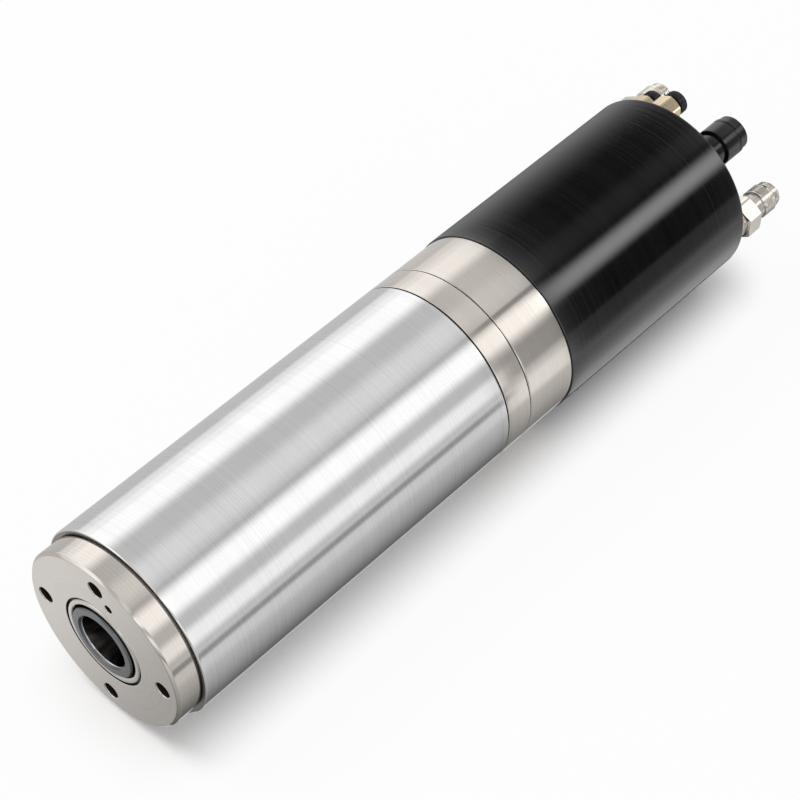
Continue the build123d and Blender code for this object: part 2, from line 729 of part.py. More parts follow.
# ================================================================ rear end plate and sensors
def end_plate():
    """Rear plate with a pilot in the cylinder and threaded ports for the fittings."""
    pilot_radius = cylinder_radius
    body = turned((pilot_front_x, 0), (pilot_front_x, pilot_radius), (plate_front_x, pilot_radius),
                  (plate_front_x, end_plate_radius), (plate_rear_x - seam_bevel, end_plate_radius),
                  (plate_rear_x, end_plate_radius - seam_bevel), (plate_rear_x, 0))
    half_width = seal_cord_radius + seal_groove_side
    body -= tube(pilot_seal_x() - half_width, pilot_seal_x() + half_width,
                 pilot_radius - 2 * seal_cord_radius, end_plate_radius)
    port_floor = plate_rear_x - water_spigot_length
    for angle in water_port_angles:
        body -= at(on_circle(port_circle, angle), bar(port_floor, plate_rear_x, water_spigot_radius))
        body -= at(on_circle(port_circle, angle), bar(plate_front_x, plate_rear_x, water_channel_radius))
    for angle in air_port_angles:
        body -= at(on_circle(port_circle, angle), bar(port_floor, plate_rear_x, air_spigot_radius))
        body -= at(on_circle(port_circle, angle), bar(plate_front_x, plate_rear_x, air_channel_radius))
    body -= at(on_circle(port_circle, connector_angle), bar(plate_front_x, plate_rear_x, connector_thread_radius))
    for angle in tie_bolt_angles:
        place = on_circle(tie_bolt_circle, angle)
        body -= at(place, bar(plate_front_x, plate_rear_x, m4_clearance_radius))
        body -= at(place, bar(plate_rear_x - m4_head_height, plate_rear_x, counterbore_radius))
    for angle in position_sensor_angles:
        place = on_circle(position_sensor_circle, angle)
        body -= at(place, bar(pilot_front_x, plate_front_x + end_plate_length / 2, position_sensor_radius))
    return body


def tie_bolts():
    screw = rear_socket_screw(plate_rear_x, head_rear_x - screw_bite)
    return Compound([at(on_circle(tie_bolt_circle, angle), screw) for angle in tie_bolt_angles])


def sensor_way():
    """Radial hole from the cable way to the pickup ring."""
    x = shaft_end_x - pickup_length / 2 - loose_gap
    hole = Cylinder(speed_sensor_radius, port_circle, align=(Align.CENTER, Align.CENTER, Align.MIN))
    return Rot(connector_angle - 90, 0, 0) * Pos(x, 0, 0) * hole


def pickup_x():
    return shaft_end_x - pickup_length - loose_gap


def speed_sensor():
    """Sensor barrel that reads the teeth of the pickup ring."""
    x = pickup_x() + pickup_length / 2
    barrel = Cylinder(speed_sensor_radius, speed_sensor_length, align=(Align.CENTER, Align.CENTER, Align.MIN))
    return Rot(connector_angle - 90, 0, 0) * Pos(x, 0, pickup_radius + speed_sensor_gap) * barrel


def position_sensors():
    """Two sensors in the end plate that read where the rear piston stands."""
    sensors = []
    for angle in position_sensor_angles:
        barrel = bar(pilot_front_x - position_sensor_reach, plate_front_x + end_plate_length / 2,
                     position_sensor_radius)
        sensors.append(at(on_circle(position_sensor_circle, angle), barrel))
    return Compound(sensors)


# ================================================================ shaft and rotor
def spindle_shaft():
    """Hollow shaft: tool taper, release bore, clamp bore, guide web and spring bore."""
    shoulder_start = slinger_x + slinger_length
    rotor_end_x = rear_bearing_x - rotor_shoulder_length
    outside = turned((-nose_stand_out, 0), (-nose_stand_out, nose_radius - nose_bevel),
                     (-nose_stand_out + nose_bevel, nose_radius), (slinger_x, nose_radius),
                     (slinger_x, slinger_radius), (shoulder_start, slinger_radius),
                     (shoulder_start, shaft_shoulder_radius), (front_bearing_x, shaft_shoulder_radius),
                     (front_bearing_x, bearing_bore_radius), (rotor_seat_x(), bearing_bore_radius),
                     (rotor_seat_x(), rotor_seat_radius), (rotor_end_x, rotor_seat_radius),
                     (rotor_end_x, rotor_shoulder_radius), (rear_bearing_x, rotor_shoulder_radius),
                     (rear_bearing_x, bearing_bore_radius), (shaft_end_x, bearing_bore_radius), (shaft_end_x, 0))
    return outside - shaft_bore()


def rotor_seat_x():
    return rotor_core_x - rotor_ring_length


def shaft_bore():
    """The hollow of the shaft as one turned solid."""
    mouth_radius = taper_gauge_radius + nose_stand_out * taper_slope
    small_end = taper_gauge_radius - taper_length * taper_slope
    web_hole = drawbar_radius + running_gap
    return turned((-nose_stand_out, 0), (-nose_stand_out, mouth_radius + taper_mouth_bevel),
                  (-nose_stand_out + taper_mouth_bevel, mouth_radius - taper_mouth_bevel * taper_slope),
                  (taper_length, small_end), (release_bore_x, small_end),
                  (release_bore_x, release_bore_radius), (clamp_bore_x, release_bore_radius),
                  (clamp_bore_x, clamp_bore_radius), (guide_web_x, clamp_bore_radius),
                  (guide_web_x, web_hole), (spring_bore_x, web_hole),
                  (spring_bore_x, spring_bore_radius), (shaft_end_x, spring_bore_radius), (shaft_end_x, 0))


def rotor_core():
    return tube(rotor_core_x, rotor_core_x + rotor_core_length, rotor_seat_radius, rotor_radius)


def rotor_end_rings():
    rear_x = rotor_core_x + rotor_core_length
    return Compound([tube(start, start + rotor_ring_length, rotor_seat_radius, rotor_ring_radius, seam_bevel)
                     for start in (rotor_seat_x(), rear_x)])


def pickup_ring():
    """Toothed steel ring that the speed sensor reads."""
    ring = tube(pickup_x(), pickup_x() + pickup_length, bearing_bore_radius, pickup_radius)
    notch = Box(2 * pickup_length, pickup_notch_width, 2 * pickup_notch_depth)
    for index in range(pickup_tooth_count):
        turn = Rot(index * 360 / pickup_tooth_count, 0, 0)
        ring -= turn * Pos(pickup_x() + pickup_length / 2, 0, pickup_radius) * notch
    return ring


def stator_core():
    """Laminated core with closed-in slots that open to the rotor by narrow mouths."""
    bore_radius = rotor_radius + air_gap
    core = tube(stator_x, stator_x + stator_length, bore_radius, jacket_bore_radius)
    slot_middle = bore_radius + stator_tooth_tip + stator_slot_depth / 2
    slot = Pos(stator_x + stator_length / 2, 0, slot_middle) * Box(stator_length, stator_slot_width, stator_slot_depth)
    mouth = Pos(stator_x + stator_length / 2, 0, bore_radius) * Box(stator_length, slot_mouth_width,
                                                                   3 * stator_tooth_tip)
    for index in range(stator_slot_count):
        core -= Rot(index * 360 / stator_slot_count, 0, 0) * (slot + mouth)
    return core


def stator_windings():
    """Two end turns joined by the conductors in the slots."""
    bore_radius = rotor_radius + air_gap
    stator_end = stator_x + stator_length
    turns = tube(stator_x - winding_overhang, stator_x, winding_inner_radius, winding_outer_radius, 2.0)
    turns += tube(stator_end, stator_end + winding_overhang, winding_inner_radius, winding_outer_radius, 2.0)
    conductor_middle = bore_radius + stator_tooth_tip + stator_slot_depth / 2
    width = stator_slot_width - 2 * conductor_gap
    depth = stator_slot_depth - 2 * conductor_gap
    conductor = Pos(stator_x + stator_length / 2, 0, conductor_middle) * Box(stator_length + 2, width, depth)
    for index in range(stator_slot_count):
        turns += Rot(index * 360 / stator_slot_count, 0, 0) * conductor
    return turns


# ================================================================ drawbar and jaws
def drawbar():
    """Long rod with the head that carries the jaws."""
    head_end = drawbar_head_x + drawbar_head_length
    return turned((drawbar_head_x, 0), (drawbar_head_x, drawbar_radius - seam_bevel),
                  (drawbar_head_x + seam_bevel, drawbar_radius), (head_end, drawbar_radius),
                  (head_end, drawbar_neck_radius), (drawbar_neck_end_x, drawbar_neck_radius),
                  (drawbar_neck_end_x, drawbar_radius), (drawbar_end_x, drawbar_radius), (drawbar_end_x, 0))


def drawbar_nut():
    """Closed nut at the rear of the drawbar; the disc springs push on it."""
    outer = spring_bore_radius - running_gap
    body = bar(drawbar_nut_x, drawbar_nut_end_x, outer, seam_bevel)
    return body - bar(drawbar_nut_x, drawbar_end_x, drawbar_radius)


def disc_springs():
    """Stack of disc spring packs, each pack set the other way round from its neighbour."""
    pitch = (drawbar_nut_x - spring_bore_x) / disc_spring_packs
    inner_edge = []
    outer_edge = []
    for index in range(disc_spring_packs + 1):
        x = spring_bore_x + index * pitch
        shift = disc_cone_height / 2 if index % 2 else -disc_cone_height / 2
        inner_edge.append((x + shift, disc_spring_inner))
        outer_edge.append((x - shift, disc_spring_outer))
    inner_edge[0] = (spring_bore_x, disc_spring_inner)
    outer_edge[0] = (spring_bore_x, disc_spring_outer)
    inner_edge[-1] = (drawbar_nut_x, disc_spring_inner)
    outer_edge[-1] = (drawbar_nut_x, disc_spring_outer)
    packs = []
    for index in range(disc_spring_packs):
        packs.append(turned(inner_edge[index], outer_edge[index], outer_edge[index + 1], inner_edge[index + 1]))
    return Compound(packs)


def gripper_jaw(index):
    """One jaw: a claw for the pull stud in front, a hook round the drawbar head behind."""
    end_x = jaw_x + jaw_length
    hook_x = end_x - jaw_hook_length
    claw_end = jaw_x + jaw_claw_length
    face = make_face(Polyline((jaw_x, jaw_claw_radius), (jaw_x, jaw_outer_radius), (end_x, jaw_outer_radius),
                              (end_x, jaw_hook_radius), (hook_x, jaw_hook_radius), (hook_x, jaw_inner_radius),
                              (claw_end, jaw_inner_radius), (claw_end - seam_bevel, jaw_claw_radius), close=True))
    sector = revolve(face, Axis.X, jaw_span)
    middle_angle = (index + 0.5) * 360 / jaw_count
    return Rot(middle_angle - jaw_span / 2, 0, 0) * sector


# ================================================================ fittings on the end plate
def water_fitting(place):
    """Fitting body: sealed foot, round barrel, hexagon and the thread for the union nut."""
    foot_x = plate_rear_x + washer_thickness
    hex_x = foot_x + fitting_barrel_length
    thread_x = hex_x + fitting_hex_length
    end_x = thread_x + fitting_thread_length
    body = bar(plate_rear_x - water_spigot_length, foot_x, water_spigot_radius)
    body += bar(foot_x, hex_x, fitting_barrel_radius, seam_bevel)
    body += hexagon(hex_x, thread_x, fitting_hex_flats, hex_corner_bevel)
    body += bar(thread_x, end_x, fitting_thread_radius)
    body -= bar(plate_rear_x - water_spigot_length, end_x, fitting_way_radius)
    body -= bar(end_x - fitting_seat_length, end_x, fitting_seat_radius)
    return at(place, body)


def water_places():
    return [on_circle(port_circle, angle) for angle in water_port_angles]


def union_nut_x():
    return plate_rear_x + washer_thickness + fitting_barrel_length + fitting_hex_length + union_nut_offset


def union_nut(place):
    start = union_nut_x()
    nut = hexagon(start, start + union_nut_length, union_nut_flats, hex_corner_bevel)
    return at(place, nut - bar(start, start + union_nut_length, fitting_thread_radius))


def sealing_washer(place):
    return at(place, tube(plate_rear_x, plate_rear_x + washer_thickness, water_spigot_radius, washer_radius))


def air_places():
    return [on_circle(port_circle, angle) for angle in air_port_angles]


def air_fitting(place):
    """Brass push-in body with the pocket that the release collar slides in."""
    end_x = plate_rear_x + air_hex_length
    body = bar(plate_rear_x - water_spigot_length, plate_rear_x, air_spigot_radius)
    body += hexagon(plate_rear_x, end_x, air_hex_flats, seam_bevel)
    body -= bar(plate_rear_x - water_spigot_length, end_x, air_channel_radius)
    body -= bar(end_x - air_pocket_depth, end_x, air_tube_radius)
    sleeve_room = air_sleeve_length - air_collar_length + air_collar_travel
    body -= bar(end_x - sleeve_room, end_x, air_sleeve_radius + running_gap)
    return at(place, body)


def air_collar(place):
    """Release collar: push it in to free the tube. Its rim is ribbed."""
    end_x = plate_rear_x + air_hex_length + loose_gap + air_collar_travel + air_collar_length
    rim_x = end_x - air_collar_length
    collar = bar(rim_x, end_x, air_collar_radius, seam_bevel)
    rib_cut = Box(air_collar_length, air_collar_rib_depth, 2 * air_collar_rib_depth)
    for index in range(air_collar_rib_count):
        turn = Rot(index * 360 / air_collar_rib_count, 0, 0)
        collar -= turn * Pos((rim_x + end_x) / 2, 0, air_collar_radius) * rib_cut
    collar += bar(end_x - air_sleeve_length, end_x - air_collar_length / 2, air_sleeve_radius)
    return at(place, collar - bar(end_x - air_sleeve_length, end_x, air_tube_radius))


def connector_place():
    return on_circle(port_circle, connector_angle)


def connector_end_x():
    return plate_rear_x + connector_neck_length + connector_ring_length + connector_lip_length


def connector_shell():
    """Round panel connector: threaded foot, neck, and the lip that keeps the coupling ring on."""
    end_x = connector_end_x()
    lip_x = end_x - connector_lip_length
    body = bar(plate_front_x, plate_rear_x, connector_thread_radius)
    body += bar(plate_rear_x, lip_x, connector_neck_radius)
    body += bar(lip_x, end_x, connector_lip_radius, 2 * seam_bevel)
    body -= bar(end_x - connector_socket_depth, end_x, connector_socket_radius)
    body -= bar(plate_front_x, end_x - connector_socket_depth, connector_socket_radius - 2)
    return at(connector_place(), body)


def connector_insert():
    """Insulating disc with its contact pins."""
    floor_x = connector_end_x() - connector_socket_depth
    face_x = floor_x + connector_insert_length
    insert = bar(floor_x, face_x, connector_socket_radius)
    for index in range(connector_pin_count):
        pin = bar(face_x, face_x + connector_pin_length, connector_pin_radius)
        insert += at(on_circle(connector_pin_circle, 45 + index * 360 / connector_pin_count), pin)
    return at(connector_place(), insert)


def coupling_ring():
    """Loose ring on the connector neck that locks the cable plug."""
    start = plate_rear_x + connector_neck_length
    end = start + connector_ring_length - running_gap
    return at(connector_place(), tube(start, end, connector_neck_radius + running_gap, connector_ring_radius,
                                      seam_bevel))


# ================================================================ all the nodes
def pair(maker, starts):
    return Compound([maker(start) for start in starts])


front_pair = (front_bearing_x, second_front_bearing_x)
rear_pair = (rear_bearing_x, second_rear_bearing_x)

nodes = {
    "front_flange": front_flange(),
    "flange_screws": flange_screws(),
    "nose_seal_ring": nose_seal_ring(),
    "front_bearing_housing": front_bearing_housing(),
    "motor_housing": motor_housing(),
    "water_jacket": water_jacket(),
    "jacket_seals": jacket_seals(),
    "stator_core": stator_core(),
    "stator_windings": stator_windings(),
    "front_outer_rings": Compound([outer_ring(front_bearing_x, -1), outer_ring(second_front_bearing_x, 1)]),
    "outer_ring_spacer": tube(front_bearing_x + bearing_width, second_front_bearing_x,
                              outer_shoulder_radius + bearing_bevel, bearing_outer_radius),
    "rear_bearing_housing": rear_bearing_housing(),
    "rear_outer_rings": Compound([outer_ring(rear_bearing_x, -1), outer_ring(second_rear_bearing_x, 1)]),
    "preload_spring": preload_spring(),
    "cylinder_head": cylinder_head(),
    "head_screws": head_screws(),
    "speed_sensor": speed_sensor(),
    "rear_cover": rear_cover(),
    "cylinder_divider": cylinder_divider(),
    "divider_clips": divider_clips(),
    "cylinder_seals": cylinder_seals(),
    "end_plate": end_plate(),
    "tie_bolts": tie_bolts(),
    "position_sensors": position_sensors(),
    "water_fitting_bodies": pair(water_fitting, water_places()),
    "water_union_nuts": pair(union_nut, water_places()),
    "water_washers": pair(sealing_washer, water_places()),
    "air_fitting_bodies": pair(air_fitting, air_places()),
    "connector_shell": connector_shell(),
    "connector_insert": connector_insert(),
    "coupling_ring": coupling_ring(),
    "spindle_shaft": spindle_shaft(),
    "rotor_core": rotor_core(),
    "rotor_end_rings": rotor_end_rings(),
    "front_inner_rings": pair(inner_ring, front_pair),
    "inner_ring_spacer": tube(front_bearing_x + bearing_width, second_front_bearing_x,
                              bearing_bore_radius, inner_shoulder_radius),
    "rear_inner_rings": pair(inner_ring, rear_pair),
    "front_lock_nut": lock_nut(front_bearings_end_x, front_lock_nut_length),
    "rear_lock_nut": lock_nut(rear_bearings_end_x, rear_lock_nut_length),
    "pickup_ring": pickup_ring(),
    "disc_springs": disc_springs(),
    "front_balls": Compound([ball for start in front_pair for ball in bearing_balls(start)]),
    "front_cages": pair(bearing_cage, front_pair),
    "rear_balls": Compound([ball for start in rear_pair for ball in bearing_balls(start)]),
    "rear_cages": pair(bearing_cage, rear_pair),
    "drawbar": drawbar(),
    "drawbar_nut": drawbar_nut(),
    "piston_rod": piston_rod(),
    "release_pistons": release_pistons(),
    "rod_sleeve": rod_sleeve(),
    "piston_nut": piston_nut(),
    "piston_seals": piston_seals(),
    "return_spring": return_spring(),
}
for number in range(jaw_count):
    nodes[f"gripper_jaw_{number + 1}"] = gripper_jaw(number)
for number, collar_place in enumerate(air_places()):
    nodes[f"air_release_collar_{number + 1}"] = air_collar(collar_place)

os.makedirs("parts", exist_ok=True)
for name, shape in nodes.items():
    export_step(shape, f"parts/{name}.step")
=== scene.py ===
import math

import bmesh
import bpy
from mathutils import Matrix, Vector


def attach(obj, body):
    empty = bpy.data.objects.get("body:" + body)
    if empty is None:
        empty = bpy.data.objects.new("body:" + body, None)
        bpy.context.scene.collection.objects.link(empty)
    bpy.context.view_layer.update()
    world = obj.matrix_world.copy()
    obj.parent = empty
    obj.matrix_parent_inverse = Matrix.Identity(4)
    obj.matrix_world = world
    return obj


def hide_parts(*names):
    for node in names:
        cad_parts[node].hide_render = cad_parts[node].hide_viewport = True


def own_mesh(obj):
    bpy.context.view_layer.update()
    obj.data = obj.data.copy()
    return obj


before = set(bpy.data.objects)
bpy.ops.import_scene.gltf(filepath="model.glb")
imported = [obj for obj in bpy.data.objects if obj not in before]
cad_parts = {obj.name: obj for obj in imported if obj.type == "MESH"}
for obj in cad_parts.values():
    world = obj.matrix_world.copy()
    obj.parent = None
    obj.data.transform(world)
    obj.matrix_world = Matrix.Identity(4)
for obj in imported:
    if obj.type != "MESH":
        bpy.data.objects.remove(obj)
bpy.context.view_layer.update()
MM = 0.001

# Sizes of the spindle in millimetres. X runs along the spindle axis from the nose face to the rear.
FLANGE_RADIUS, FLANGE_LENGTH, FLANGE_BEVEL = 38.0, 10.4, 1.1
SEAL_RING_BORE, SEAL_RING_RADIUS, SEAL_RING_LENGTH = 16.0, 18.25, 5.5
SEAL_GROOVE_RADIUS, SEAL_GROOVE_DEPTH = 19.1, 1.0
FRONT_LIP_RADIUS, FRONT_LIP_X, FRONT_LIP_BORE = 23.43, 14.0, 21.0
FLANGE_SCREW_CIRCLE, COUNTERBORE_RADIUS, COUNTERBORE_DEPTH = 30.0, 3.6, 6.2
AIR_OUTLET_CIRCLE, AIR_OUTLET_ANGLE, AIR_OUTLET_RADIUS, AIR_OUTLET_DEPTH = 25.2, 103.5, 1.85, 6.0
BODY_RADIUS, HOUSING_FRONT_X, HOUSING_REAR_X, CASING_BORE = 40.0, 11.0, 170.0, 36.9
BEARING_RING_REAR_X, HEAD_REAR_X = 182.4, 206.3
COVER_RADIUS, COVER_REAR_X, CYLINDER_RADIUS = 40.5, 314.0, 24.5
PLATE_RADIUS, PLATE_FRONT_X, PLATE_REAR_X, PILOT_FRONT_X = 38.3, 304.0, 313.2, 299.0
PORT_CIRCLE = 31.0
WATER_ANGLES, AIR_ANGLES, CONNECTOR_ANGLE = (21.0, 195.0), (72.0, 48.0), 122.0
TIE_BOLT_CIRCLE, TIE_BOLT_ANGLES = 34.0, (97.0, 155.0, 240.0, 320.0)
AXIS = (0.0, 0.0)
SCREW_HEAD_RADIUS, SCREW_HEAD_HEIGHT, SCREW_SHANK_RADIUS = 3.5, 4.0, 2.0
SCREW_SOCKET_FLATS, SCREW_SOCKET_DEPTH, FLANGE_SCREW_SHANK, TIE_BOLT_SHANK = 3.0, 2.0, 15.2, 113.9
SHARP_ANGLE = math.radians(16.0)  # edges that bend more than this shade as edges
ROUND_STEPS = 256  # sides of the big turned pieces


# -------------------- shapes
def spot(circle, angle):
    """The (y, z) place in millimetres at an angle in degrees from +Y towards +Z."""
    return circle * math.cos(math.radians(angle)), circle * math.sin(math.radians(angle))


def new_object(name, data):
    """An object in the scene that carries a mesh, lamp or camera."""
    made = bpy.data.objects.new(name, data)
    bpy.context.scene.collection.objects.link(made)
    return made


def plain_mesh(name, points, faces, unit=1.0):
    """A mesh object from points in that unit of metres."""
    mesh = bpy.data.meshes.new(name)
    mesh.from_pydata([tuple(value * unit for value in point) for point in points], [], faces)
    return new_object(name, mesh)


def shade(mesh):
    """Smooth faces that stay sharp at their edges."""
    mesh.shade_smooth()
    mesh.set_sharp_from_angle(angle=SHARP_ANGLE)


def finished_mesh(name, points, faces):
    """A mesh from points in millimetres, doubles merged and faces turned outwards."""
    piece = plain_mesh(name, points, faces, MM)
    shape = bmesh.new()
    shape.from_mesh(piece.data)
    bmesh.ops.remove_doubles(shape, verts=shape.verts, dist=1e-7)
    bmesh.ops.dissolve_degenerate(shape, edges=shape.edges, dist=1e-7)
    bmesh.ops.recalc_face_normals(shape, faces=shape.faces)
    shape.to_mesh(piece.data)
    shape.free()
    shade(piece.data)
    return piece


def lofted(name, hoops, place=AXIS, steps=96, closed=True):
    """A skin through hoops about a line along X. Each hoop gives (x, radius) for a turn in degrees."""
    points, faces = [], []
    for hoop_at in hoops:
        for step in range(steps):
            turn = 360.0 * step / steps
            x, radius = hoop_at(turn)
            angle = math.radians(turn)
            points.append((x, place[0] + radius * math.cos(angle), place[1] + radius * math.sin(angle)))
    count = len(hoops)
    for row in range(count if closed else count - 1):
        here, there = row * steps, (row + 1) % count * steps
        for step in range(steps):
            after = (step + 1) % steps
            faces.append((here + step, here + after, there + after, there + step))
    return finished_mesh(name, points, faces)


def hoop(x, radius):
    """A round hoop."""
    return lambda turn: (x, radius)


def softened(corners, bends=4):
    """Rounds the corners of a closed outline of (x, radius, rounding) points."""
    outline = []
    count = len(corners)
    for index, corner in enumerate(corners):
        here = Vector(corner[:2])
        rounding = corner[2] if len(corner) > 2 else 0.0
        if rounding == 0.0:
            outline.append(tuple(here))
            continue
        before = (Vector(corners[index - 1][:2]) - here).normalized()
        after = (Vector(corners[(index + 1) % count][:2]) - here).normalized()
        for bend in range(bends + 1):
            share = bend / bends
            start = here + before * rounding * (1 - share)
            end = here + after * rounding * share
            outline.append(tuple(start * (1 - share) + end * share))
    return outline


def supported(outline, inset=0.25):
    """Adds points just inside both ends of every long stretch of an outline, so that its faces shade straight."""
    points = []
    for index, point in enumerate(outline):
        here, there = Vector(point), Vector(outline[(index + 1) % len(outline)])
        points.append(point)
        if (there - here).length > 6 * inset:
            step = (there - here).normalized() * inset
            points += [tuple(here + step), tuple(there - step)]
    return points


def turned(name, corners, place=AXIS, steps=192):
    """A turned piece: the outline of (x, radius, rounding) points goes round the line at place."""
    return lofted(name, [hoop(x, radius) for x, radius in supported(softened(corners))], place, steps)


def hex_reach(flats, turn):
    """Radius of a hexagon of that width across flats, its corners just broken."""
    reach = flats / 2 / math.cos(math.radians((turn + 30.0) % 60.0 - 30.0))
    return min(reach, flats / math.sqrt(3) * 0.985)


def nut_hoops(x_start, x_end, flats, face_share=0.94):
    """Hoops of a hexagon whose corners are turned down at both ends, from the first face to the last."""
    face_radius = flats / 2 * face_share
    slope = math.tan(math.radians(28.0))

    def side(x, inward):
        def at(turn):
            reach = hex_reach(flats, turn)
            return x + inward * (reach - face_radius) * slope, reach
        return at

    return [hoop(x_start, face_radius), side(x_start, 1), side(x_start + 0.25, 1), side(x_end - 0.25, -1),
            side(x_end, -1), hoop(x_end, face_radius)]


def thread_hoops(x_start, x_end, crest, depth, pitch):
    """Hoops of a screw thread: a helical groove that runs out at both ends."""
    count = max(8, round((x_end - x_start) / pitch * 8))

    def row(x):
        def at(turn):
            phase = ((x - x_start) / pitch - turn / 360.0) % 1.0
            height = min(1.0, max(0.0, 2.6 * abs(phase - 0.5) * 2 - 0.8))
            ends = min(1.0, (x - x_start) / pitch, (x_end - x) / pitch)
            return x, crest - depth + depth * height * max(0.0, ends)
        return at

    return [row(x_start + (x_end - x_start) * step / count) for step in range(count + 1)]


def cut(piece, cutters):
    """Cuts the cutters out of the piece and leaves it a plain mesh."""
    for cutter in cutters:
        modifier = piece.modifiers.new("cut", "BOOLEAN")
        modifier.operation, modifier.solver, modifier.object = "DIFFERENCE", "EXACT", cutter
    return made_plain(piece, cutters)


def made_plain(piece, helpers):
    """Turns the evaluated piece into a plain mesh with no modifiers and removes its helpers."""
    graph = bpy.context.evaluated_depsgraph_get()
    result = bpy.data.meshes.new_from_object(piece.evaluated_get(graph))
    piece.modifiers.clear()
    piece.data = result
    shade(result)
    for helper in helpers:
        bpy.data.objects.remove(helper)
    return piece


def joined(name, parts):
    """Several pieces as one mesh."""
    shape = bmesh.new()
    for part in parts:
        shape.from_mesh(part.data)
    mesh = bpy.data.meshes.new(name)
    shape.to_mesh(mesh)
    shape.free()
    for part in parts:
        bpy.data.objects.remove(part)
    shade(mesh)
    return new_object(name, mesh)


# -------------------- shader nodes
def feed(tree, value, socket):
    """Gives a socket a number, or links another socket to it."""
    if isinstance(value, (int, float)):
        socket.default_value = value
    else:
        tree.links.new(value, socket)


def math_node(tree, operation, *values):
    """The result of one sum on numbers or sockets."""
    node = tree.nodes.new("ShaderNodeMath")
    node.operation = operation
    for socket, value in zip(node.inputs, values):
        feed(tree, value, socket)
    return node.outputs[0]


def mapped(tree, value, from_low, from_high, low, high, smooth=False):
    """The value taken from one range to another and held at its ends."""
    node = tree.nodes.new("ShaderNodeMapRange")
    if smooth:
        node.interpolation_type = "SMOOTHSTEP"
    for label, number in (("From Min", from_low), ("From Max", from_high), ("To Min", low), ("To Max", high)):
        node.inputs[label].default_value = number
    tree.links.new(value, node.inputs["Value"])
    return node.outputs["Result"]


def combined(tree, *parts):
    """A vector from up to three sockets."""
    node = tree.nodes.new("ShaderNodeCombineXYZ")
    for socket, part in zip(node.inputs, parts):
        tree.links.new(part, socket)
    return node.outputs[0]


def separated(tree, vector):
    """The X, Y and Z of a vector."""
    node = tree.nodes.new("ShaderNodeSeparateXYZ")
    tree.links.new(vector, node.inputs[0])
    return node.outputs


def noise(tree, place, scale=1.0, detail=2.0):
    """The value of a noise texture."""
    node = tree.nodes.new("ShaderNodeTexNoise")
    node.inputs["Detail"].default_value = detail
    tree.links.new(place, node.inputs["Vector"])
    feed(tree, scale, node.inputs["Scale"])
    return node.outputs["Fac"]


def drawn_out_noise(tree, measure, place, fineness, close, slow):
    """Noise that changes fast along one measure and slowly over Y and Z."""
    fast = math_node(tree, "MULTIPLY", math_node(tree, "MULTIPLY", measure, close), fineness)
    side, height = (math_node(tree, "MULTIPLY", place[axis], slow) for axis in ("Y", "Z"))
    return noise(tree, combined(tree, fast, side, height))


def new_group(name, setting, value, *results):
    """An empty shader group that takes a place and one setting, its input and output nodes."""
    tree = bpy.data.node_groups.new(name, "ShaderNodeTree")
    tree.interface.new_socket("Place", in_out="INPUT", socket_type="NodeSocketVector")
    tree.interface.new_socket(setting, in_out="INPUT", socket_type="NodeSocketFloat").default_value = value
    for label in results:
        tree.interface.new_socket(label, in_out="OUTPUT", socket_type="NodeSocketFloat")
    return tree, tree.nodes.new("NodeGroupInput").outputs, tree.nodes.new("NodeGroupOutput").inputs


def make_brushing():
    """Fine lines round the spindle axis: close together along X, long round the body."""
    tree, given, out = new_group("brushed_round_axis", "Fineness", 1.0, "Lines", "Broad")
    place = separated(tree, given["Place"])
    fine, scratches, broad = (drawn_out_noise(tree, place["X"], place, given["Fineness"], close, slow)
                              for close, slow in ((2700.0, 3.0), (1150.0, 2.0), (140.0, 5.0)))
    scratches = mapped(tree, scratches, 0.58, 0.70, 0.0, 1.0)
    tree.links.new(math_node(tree, "MULTIPLY_ADD", scratches, -0.22, fine), out["Lines"])
    tree.links.new(broad, out["Broad"])
    return tree


def make_turning():
    """Faint rings that a facing cut leaves about the spindle axis."""
    tree, given, out = new_group("turned_face_rings", "Fineness", 1.0, "Rings", "Broad")
    place = separated(tree, given["Place"])
    across, up = (math_node(tree, "MULTIPLY", place[axis], place[axis]) for axis in ("Y", "Z"))
    radius = math_node(tree, "SQRT", math_node(tree, "ADD", across, up))
    for label, close, slow in (("Rings", 2300.0, 3.0), ("Broad", 420.0, 9.0)):
        tree.links.new(drawn_out_noise(tree, radius, place, given["Fineness"], close, slow), out[label])
    return tree


def make_handling():
    """Soft patches and specks that handling leaves on a finish."""
    tree, given, out = new_group("handling_marks", "Size", 40.0, "Patches", "Specks")
    tree.links.new(noise(tree, given["Place"], given["Size"], 4.0), out["Patches"])
    speck_size = math_node(tree, "MULTIPLY", given["Size"], 55.0)
    tree.links.new(noise(tree, given["Place"], speck_size, 3.0), out["Specks"])
    return tree


BRUSHING, TURNING, HANDLING = make_brushing(), make_turning(), make_handling()
NOISE_RANGE = (0.3, 0.7)  # where nearly all of a noise's values lie
ROUGHNESS_SPREAD = 0.006  # how far handling moves the roughness up and down


